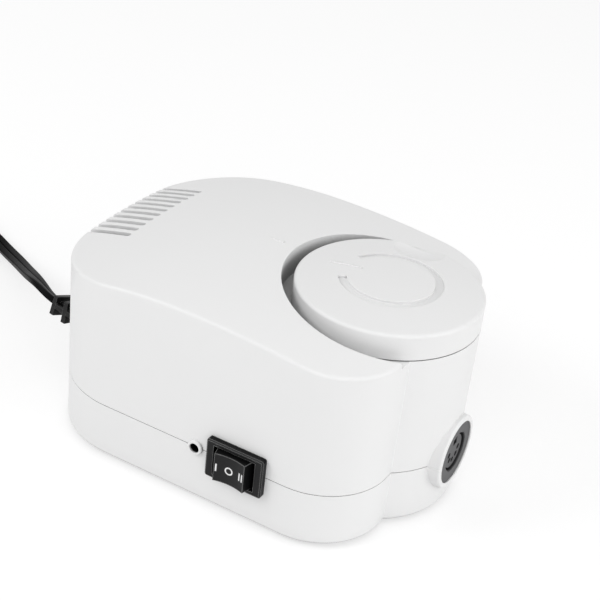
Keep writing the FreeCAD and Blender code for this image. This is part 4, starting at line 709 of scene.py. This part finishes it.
def screwTree(sizes):
    tree, given = openGeometry("caseScrewTree", sizes)
    height = given["Head Height"]
    head = put(tree, "GeometryNodeMeshCylinder",
               {"Vertices": given["Head Sides"], "Side Segments": 2, "Fill Segments": 5,
                "Radius": given["Head Radius"], "Depth": height}).outputs["Mesh"]
    spot = put(tree, "ShaderNodeSeparateXYZ", {0: put(tree, "GeometryNodeInputPosition").outputs[0]}).outputs
    flat = put(tree, "ShaderNodeVectorMath", {0: vectorOf(tree, spot[0], spot[1])}, operation="LENGTH")
    out = calc(tree, "DIVIDE", flat.outputs["Value"], given["Head Radius"])
    under = calc(tree, "LESS_THAN", spot[2], calc(tree, "MULTIPLY", height, -0.4))
    lift = calc(tree, "MULTIPLY", calc(tree, "POWER", out, 3.0), calc(tree, "MULTIPLY", given["Dome"], under))
    head = put(tree, "GeometryNodeSetPosition",
               {"Geometry": head, "Offset": vectorOf(tree, 0.0, 0.0, lift)}).outputs[0]
    low = calc(tree, "MULTIPLY", height, -0.5)
    depth = calc(tree, "MULTIPLY", given["Cross Depth"], 2.0)
    bars = [slab(tree, vectorOf(tree, wide, deep, depth), vectorOf(tree, 0.0, 0.0, low))
            for wide, deep in ((given["Cross Length"], given["Cross Width"]),
                               (given["Cross Width"], given["Cross Length"]))]
    cross = put(tree, "GeometryNodeMeshBoolean", operation="UNION")
    for bar in bars:
        tree.links.new(bar, cross.inputs["Mesh 2"])
    cut = put(tree, "GeometryNodeMeshBoolean", {"Mesh 1": head}, operation="DIFFERENCE")
    tree.links.new(cross.outputs[0], cut.inputs["Mesh 2"])
    head = put(tree, "GeometryNodeTransform", {"Geometry": cut.outputs[0],
                                               "Translation": vectorOf(tree, 0.0, 0.0, low)}).outputs[0]
    length = given["Shank Length"]
    shank = put(tree, "GeometryNodeMeshCylinder",
                {"Vertices": given["Shank Sides"], "Side Segments": 1, "Radius": given["Shank Radius"],
                 "Depth": length}).outputs["Mesh"]
    shank = put(tree, "GeometryNodeTransform",
                {"Geometry": shank,
                 "Translation": vectorOf(tree, 0.0, 0.0, calc(tree, "MULTIPLY", length, 0.5))}).outputs[0]
    lead = calc(tree, "MULTIPLY", length, given["Thread Lead"])
    rise = calc(tree, "SUBTRACT", length, calc(tree, "MULTIPLY", lead, 2.0))
    coil = put(tree, "GeometryNodeCurveSpiral",
               {"Resolution": given["Turn Steps"], "Rotations": given["Turns"],
                "Start Radius": given["Shank Radius"], "End Radius": given["Shank Radius"],
                "Height": rise}).outputs[0]
    coil = put(tree, "GeometryNodeTransform",
               {"Geometry": coil, "Translation": vectorOf(tree, 0.0, 0.0, lead)}).outputs[0]
    ridge = calc(tree, "SUBTRACT", given["Thread Radius"], given["Shank Radius"])
    tooth = put(tree, "GeometryNodeCurvePrimitiveCircle", {"Resolution": 3, "Radius": ridge}, mode="RADIUS")
    thread = put(tree, "GeometryNodeCurveToMesh",
                 {"Curve": coil, "Profile Curve": tooth.outputs[0], "Fill Caps": True}).outputs[0]
    screws = put(tree, "GeometryNodeInstanceOnPoints",
                 {"Points": pairPlaces(tree, given),
                  "Instance": joined(tree, head, shank, thread)}).outputs[0]
    closeGeometry(tree, screws, given["Finish"])
    return tree


caseScrews = grow("caseScrews", screwTree(screwSizes), screwSizes, "bright_steel", smoothAngle=30.0)
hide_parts("case_screws")


# rubber feet: short discs with a soft rim and a moulding dimple underneath
footSizes = {
    "Back Near": at(-79.0, -40.0, 1.15), "Back Far": at(-79.0, 40.0, 1.15),
    "Front Near": at(-8.0, -42.0, 1.15), "Front Far": at(-8.0, 42.0, 1.15),
    "Radius": 5.0 * mm, "Height": 2.3 * mm, "Rim": 0.45 * mm, "Dimple Radius": 2.2 * mm, "Dimple": 0.5 * mm,
    "Sides": 48, "Rim Steps": 10, "Face Rings": 14,
}


def footTree(sizes):
    tree, given = openGeometry("rubberFootTree", sizes)
    disc = put(tree, "GeometryNodeMeshCylinder",
               {"Vertices": given["Sides"], "Side Segments": given["Rim Steps"],
                "Fill Segments": given["Face Rings"], "Radius": given["Radius"],
                "Depth": given["Height"]}).outputs["Mesh"]
    spot = put(tree, "ShaderNodeSeparateXYZ", {0: put(tree, "GeometryNodeInputPosition").outputs[0]}).outputs
    flat = put(tree, "ShaderNodeVectorMath", {0: vectorOf(tree, spot[0], spot[1])}, operation="LENGTH")
    radius = flat.outputs["Value"]
    rise = calc(tree, "ADD", spot[2], calc(tree, "MULTIPLY", given["Height"], 0.5))
    near = calc(tree, "SUBTRACT", 1.0, calc(tree, "DIVIDE", rise, given["Rim"], clamp=True))
    pull = calc(tree, "SUBTRACT", 1.0, calc(tree, "SQRT", calc(tree, "SUBTRACT", 1.0,
                                                               calc(tree, "POWER", near, 2.0))))
    rimOnly = calc(tree, "GREATER_THAN", radius, calc(tree, "MULTIPLY", given["Radius"], 0.97))
    share = calc(tree, "MULTIPLY", calc(tree, "DIVIDE", calc(tree, "MULTIPLY", given["Rim"], pull), radius),
                 calc(tree, "MULTIPLY", rimOnly, -1.0))
    inward = put(tree, "ShaderNodeVectorMath", {0: vectorOf(tree, spot[0], spot[1]),
                                                1: vectorOf(tree, share, share, share)}, operation="MULTIPLY")
    bowl = put(tree, "ShaderNodeMapRange",
               {0: radius, 1: calc(tree, "MULTIPLY", given["Dimple Radius"], 0.6), 2: given["Dimple Radius"],
                3: 1.0, 4: 0.0}, interpolation_type="SMOOTHSTEP").outputs[0]
    under = calc(tree, "LESS_THAN", rise, calc(tree, "MULTIPLY", given["Height"], 0.02))
    lift = calc(tree, "MULTIPLY", calc(tree, "MULTIPLY", bowl, under), given["Dimple"])
    move = put(tree, "ShaderNodeVectorMath", {0: inward.outputs[0], 1: vectorOf(tree, 0.0, 0.0, lift)},
               operation="ADD").outputs[0]
    disc = put(tree, "GeometryNodeSetPosition", {"Geometry": disc, "Offset": move}).outputs[0]
    feet = put(tree, "GeometryNodeInstanceOnPoints",
               {"Points": pairPlaces(tree, given), "Instance": disc}).outputs[0]
    closeGeometry(tree, feet, given["Finish"])
    return tree


rubberFeet = grow("rubberFeet", footTree(footSizes), footSizes, "foot_rubber", smoothAngle=50.0)
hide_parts("rubber_feet")


# socket contacts: split tubes on half a circle, solder tails behind
contactSizes = {
    "Centre": at(20.35, 0.0, 21.4), "Circle": 3.5 * mm, "Contacts": 5, "Radius": 1.0 * mm,
    "Length": 19.3 * mm, "Bore": 0.75 * mm, "Bore Depth": 8.0 * mm, "Slit": 0.35 * mm, "Slit Depth": 5.0 * mm,
    "Sides": 28, "Bore Sides": 24,
}


def contactTree(sizes):
    tree, given = openGeometry("socketContactTree", sizes)
    along = (0.0, math.pi / 2, 0.0)
    half = calc(tree, "MULTIPLY", given["Length"], 0.5)
    body = put(tree, "GeometryNodeMeshCylinder",
               {"Vertices": given["Sides"], "Radius": given["Radius"],
                "Depth": given["Length"]}).outputs["Mesh"]
    body = put(tree, "GeometryNodeTransform", {"Geometry": body, "Rotation": along}).outputs[0]
    bore = put(tree, "GeometryNodeMeshCylinder",
               {"Vertices": given["Bore Sides"], "Radius": given["Bore"],
                "Depth": calc(tree, "MULTIPLY", given["Bore Depth"], 2.0)}).outputs["Mesh"]
    bore = put(tree, "GeometryNodeTransform", {"Geometry": bore, "Rotation": along,
                                               "Translation": vectorOf(tree, half)}).outputs[0]
    slit = slab(tree, vectorOf(tree, calc(tree, "MULTIPLY", given["Slit Depth"], 2.0),
                               calc(tree, "MULTIPLY", given["Radius"], 3.0), given["Slit"]),
                vectorOf(tree, half))
    cut = put(tree, "GeometryNodeMeshBoolean", {"Mesh 1": body}, operation="DIFFERENCE")
    tree.links.new(bore, cut.inputs["Mesh 2"])
    tree.links.new(slit, cut.inputs["Mesh 2"])
    index = put(tree, "GeometryNodeInputIndex").outputs[0]
    gaps = calc(tree, "SUBTRACT", given["Contacts"], 1.0)
    angle = calc(tree, "MULTIPLY_ADD", calc(tree, "DIVIDE", index, gaps), math.pi, math.pi)
    row = put(tree, "GeometryNodeMeshLine", {"Count": given["Contacts"]}, mode="OFFSET").outputs[0]
    ring = vectorOf(tree, 0.0, calc(tree, "MULTIPLY", calc(tree, "COSINE", angle), given["Circle"]),
                    calc(tree, "MULTIPLY", calc(tree, "SINE", angle), given["Circle"]))
    spot = put(tree, "ShaderNodeVectorMath", {0: given["Centre"], 1: ring}, operation="ADD").outputs[0]
    row = put(tree, "GeometryNodeSetPosition", {"Geometry": row, "Position": spot}).outputs[0]
    contacts = put(tree, "GeometryNodeInstanceOnPoints",
                   {"Points": row, "Instance": cut.outputs[0]}).outputs[0]
    closeGeometry(tree, contacts, given["Finish"])
    return tree


socketContacts = grow("socketContacts", contactTree(contactSizes), contactSizes, "tinned_brass")
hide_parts("socket_contacts")


# transformer core: a stack of thin stamped plates, each with two windows, shuffled a hair
coreSizes = {
    "Middle": at(-72.0, 0.0, 25.3), "Plates": 40, "Pitch": 0.5 * mm, "Thickness": 0.44 * mm,
    "Width": 48.0 * mm, "Height": 40.0 * mm, "Leg": 16.0 * mm, "Window Width": 8.0 * mm,
    "Window Height": 24.0 * mm, "Shuffle": 0.04 * mm, "Seed": 7,
}


def coreTree(sizes):
    tree, given = openGeometry("coreStackTree", sizes)
    thick = given["Thickness"]
    yoke = calc(tree, "MULTIPLY", calc(tree, "SUBTRACT", given["Height"], given["Window Height"]), 0.5)
    rise = calc(tree, "MULTIPLY", calc(tree, "ADD", given["Window Height"], yoke), 0.5)
    sideLeg = calc(tree, "MULTIPLY", given["Leg"], 0.5)
    reach = calc(tree, "ADD", calc(tree, "MULTIPLY", given["Leg"], 0.75), given["Window Width"])
    parts = [slab(tree, vectorOf(tree, thick, given["Width"], yoke),
                  vectorOf(tree, 0.0, 0.0, calc(tree, "MULTIPLY", rise, way))) for way in (-1.0, 1.0)]
    parts += [slab(tree, vectorOf(tree, thick, sideLeg, given["Window Height"]),
                   vectorOf(tree, 0.0, calc(tree, "MULTIPLY", reach, way))) for way in (-1.0, 1.0)]
    parts.append(slab(tree, vectorOf(tree, thick, given["Leg"], given["Window Height"])))
    back = calc(tree, "MULTIPLY", calc(tree, "MULTIPLY", calc(tree, "SUBTRACT", given["Plates"], 1.0),
                                       given["Pitch"]), -0.5)
    start = put(tree, "ShaderNodeVectorMath", {0: given["Middle"], 1: vectorOf(tree, back)}, operation="ADD")
    row = put(tree, "GeometryNodeMeshLine",
              {"Count": given["Plates"], "Start Location": start.outputs[0],
               "Offset": vectorOf(tree, given["Pitch"])}, mode="OFFSET").outputs[0]
    low = calc(tree, "MULTIPLY", given["Shuffle"], -1.0)
    loose = put(tree, "FunctionNodeRandomValue",
                {"Min": vectorOf(tree, 0.0, low, low), "Max": (0.0, 0.0, 0.0), "Seed": given["Seed"]},
                data_type="FLOAT_VECTOR").outputs[0]
    row = put(tree, "GeometryNodeSetPosition", {"Geometry": row, "Offset": loose}).outputs[0]
    stack = put(tree, "GeometryNodeInstanceOnPoints",
                {"Points": row, "Instance": joined(tree, *parts)}).outputs[0]
    closeGeometry(tree, stack, given["Finish"])
    return tree


coreStack = grow("coreStack", coreTree(coreSizes), coreSizes, "core_steel", smoothAngle=20.0)
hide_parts("transformer_core")


# pale floor, even studio light, and large soft lamps round the table
stageLook = {
    "floorTone": 0.84, "whiteShare": 0.5, "whiteLevel": 1.22, "reach": 6.0,
    "white": (1.0, 1.0, 1.0), "worldLight": 0.55, "worldSeen": 1.0,
    "lamps": [
        # name, place, aim, width, height, watts
        ("lampLeft", (-0.9, -0.8, 0.95), (-0.02, 0.0, 0.03), 0.6, 0.6, 6.4),
        ("lampRightFront", (0.85, -0.8, 0.5), (0.0, 0.0, 0.03), 0.7, 0.7, 1.7),
        ("lampRight", (1.2, 0.1, 0.45), (0.0, 0.0, 0.03), 0.7, 0.7, 4.4),
        ("lampAbove", (0.0, 0.1, 1.3), (0.0, 0.0, 0.0), 0.8, 0.8, 0.2),
        ("lampFront", (0.2, -0.85, 1.0), (0.0, 0.0, 0.0), 0.8, 0.8, 3.0),
        ("lampBack", (0.75, 0.8, 0.8), (0.0, 0.0, 0.0), 0.8, 0.8, 0.9),
    ],
}


def seenRays(tree):
    # the camera, straight, through glass or off a gloss, sees the backdrop's plain white
    paths = put(tree, "ShaderNodeLightPath").outputs
    direct = calc(tree, "MAXIMUM", paths["Is Camera Ray"], paths["Is Transmission Ray"])
    return calc(tree, "MAXIMUM", direct, paths["Is Glossy Ray"])


def makeStage():
    material = bpy.data.materials.new("floorWhite")
    material.use_nodes = True
    tree = material.node_tree
    tree.nodes.clear()
    lit = put(tree, "ShaderNodeBsdfDiffuse", {"Color": colourOf(stageLook["white"], stageLook["floorTone"])})
    plain = put(tree, "ShaderNodeEmission", {"Color": colourOf(stageLook["white"]),
                                             "Strength": stageLook["whiteLevel"]})
    share = calc(tree, "MULTIPLY", seenRays(tree), stageLook["whiteShare"])
    mix = put(tree, "ShaderNodeMixShader", {0: share, 1: lit.outputs[0], 2: plain.outputs[0]})
    put(tree, "ShaderNodeOutputMaterial", {"Surface": mix.outputs[0]})
    reach = stageLook["reach"]
    mesh = bpy.data.meshes.new("floor")
    mesh.from_pydata([(-reach, -reach, 0), (reach, -reach, 0), (reach, reach, 0), (-reach, reach, 0)], [],
                     [(0, 1, 2, 3)])
    mesh.materials.append(material)
    floor = bpy.data.objects.new("floor", mesh)
    bpy.context.scene.collection.objects.link(floor)


def makeLamp(name, place, aim, width, height, watts):
    data = bpy.data.lights.new(name, "AREA")
    data.shape = "RECTANGLE"
    data.size, data.size_y = width, height
    data.energy = watts
    lamp = bpy.data.objects.new(name, data)
    bpy.context.scene.collection.objects.link(lamp)
    lamp.location = place
    lamp.rotation_euler = (Vector(aim) - Vector(place)).to_track_quat("-Z", "Y").to_euler()


def makeWorld():
    world = bpy.data.worlds.new("studio")
    bpy.context.scene.world = world
    world.use_nodes = True
    tree = world.node_tree
    tree.nodes.clear()
    white = colourOf(stageLook["white"])
    soft = put(tree, "ShaderNodeBackground", {"Color": white, "Strength": stageLook["worldLight"]})
    plain = put(tree, "ShaderNodeBackground", {"Color": white, "Strength": stageLook["worldSeen"]})
    mix = put(tree, "ShaderNodeMixShader", {0: seenRays(tree), 1: soft.outputs[0], 2: plain.outputs[0]})
    put(tree, "ShaderNodeOutputWorld", {"Surface": mix.outputs[0]})


makeStage()
makeWorld()
for lampFacts in stageLook["lamps"]:
    makeLamp(*lampFacts)
bpy.context.scene.view_settings.view_transform = "Standard"
print("stage and lamps made")
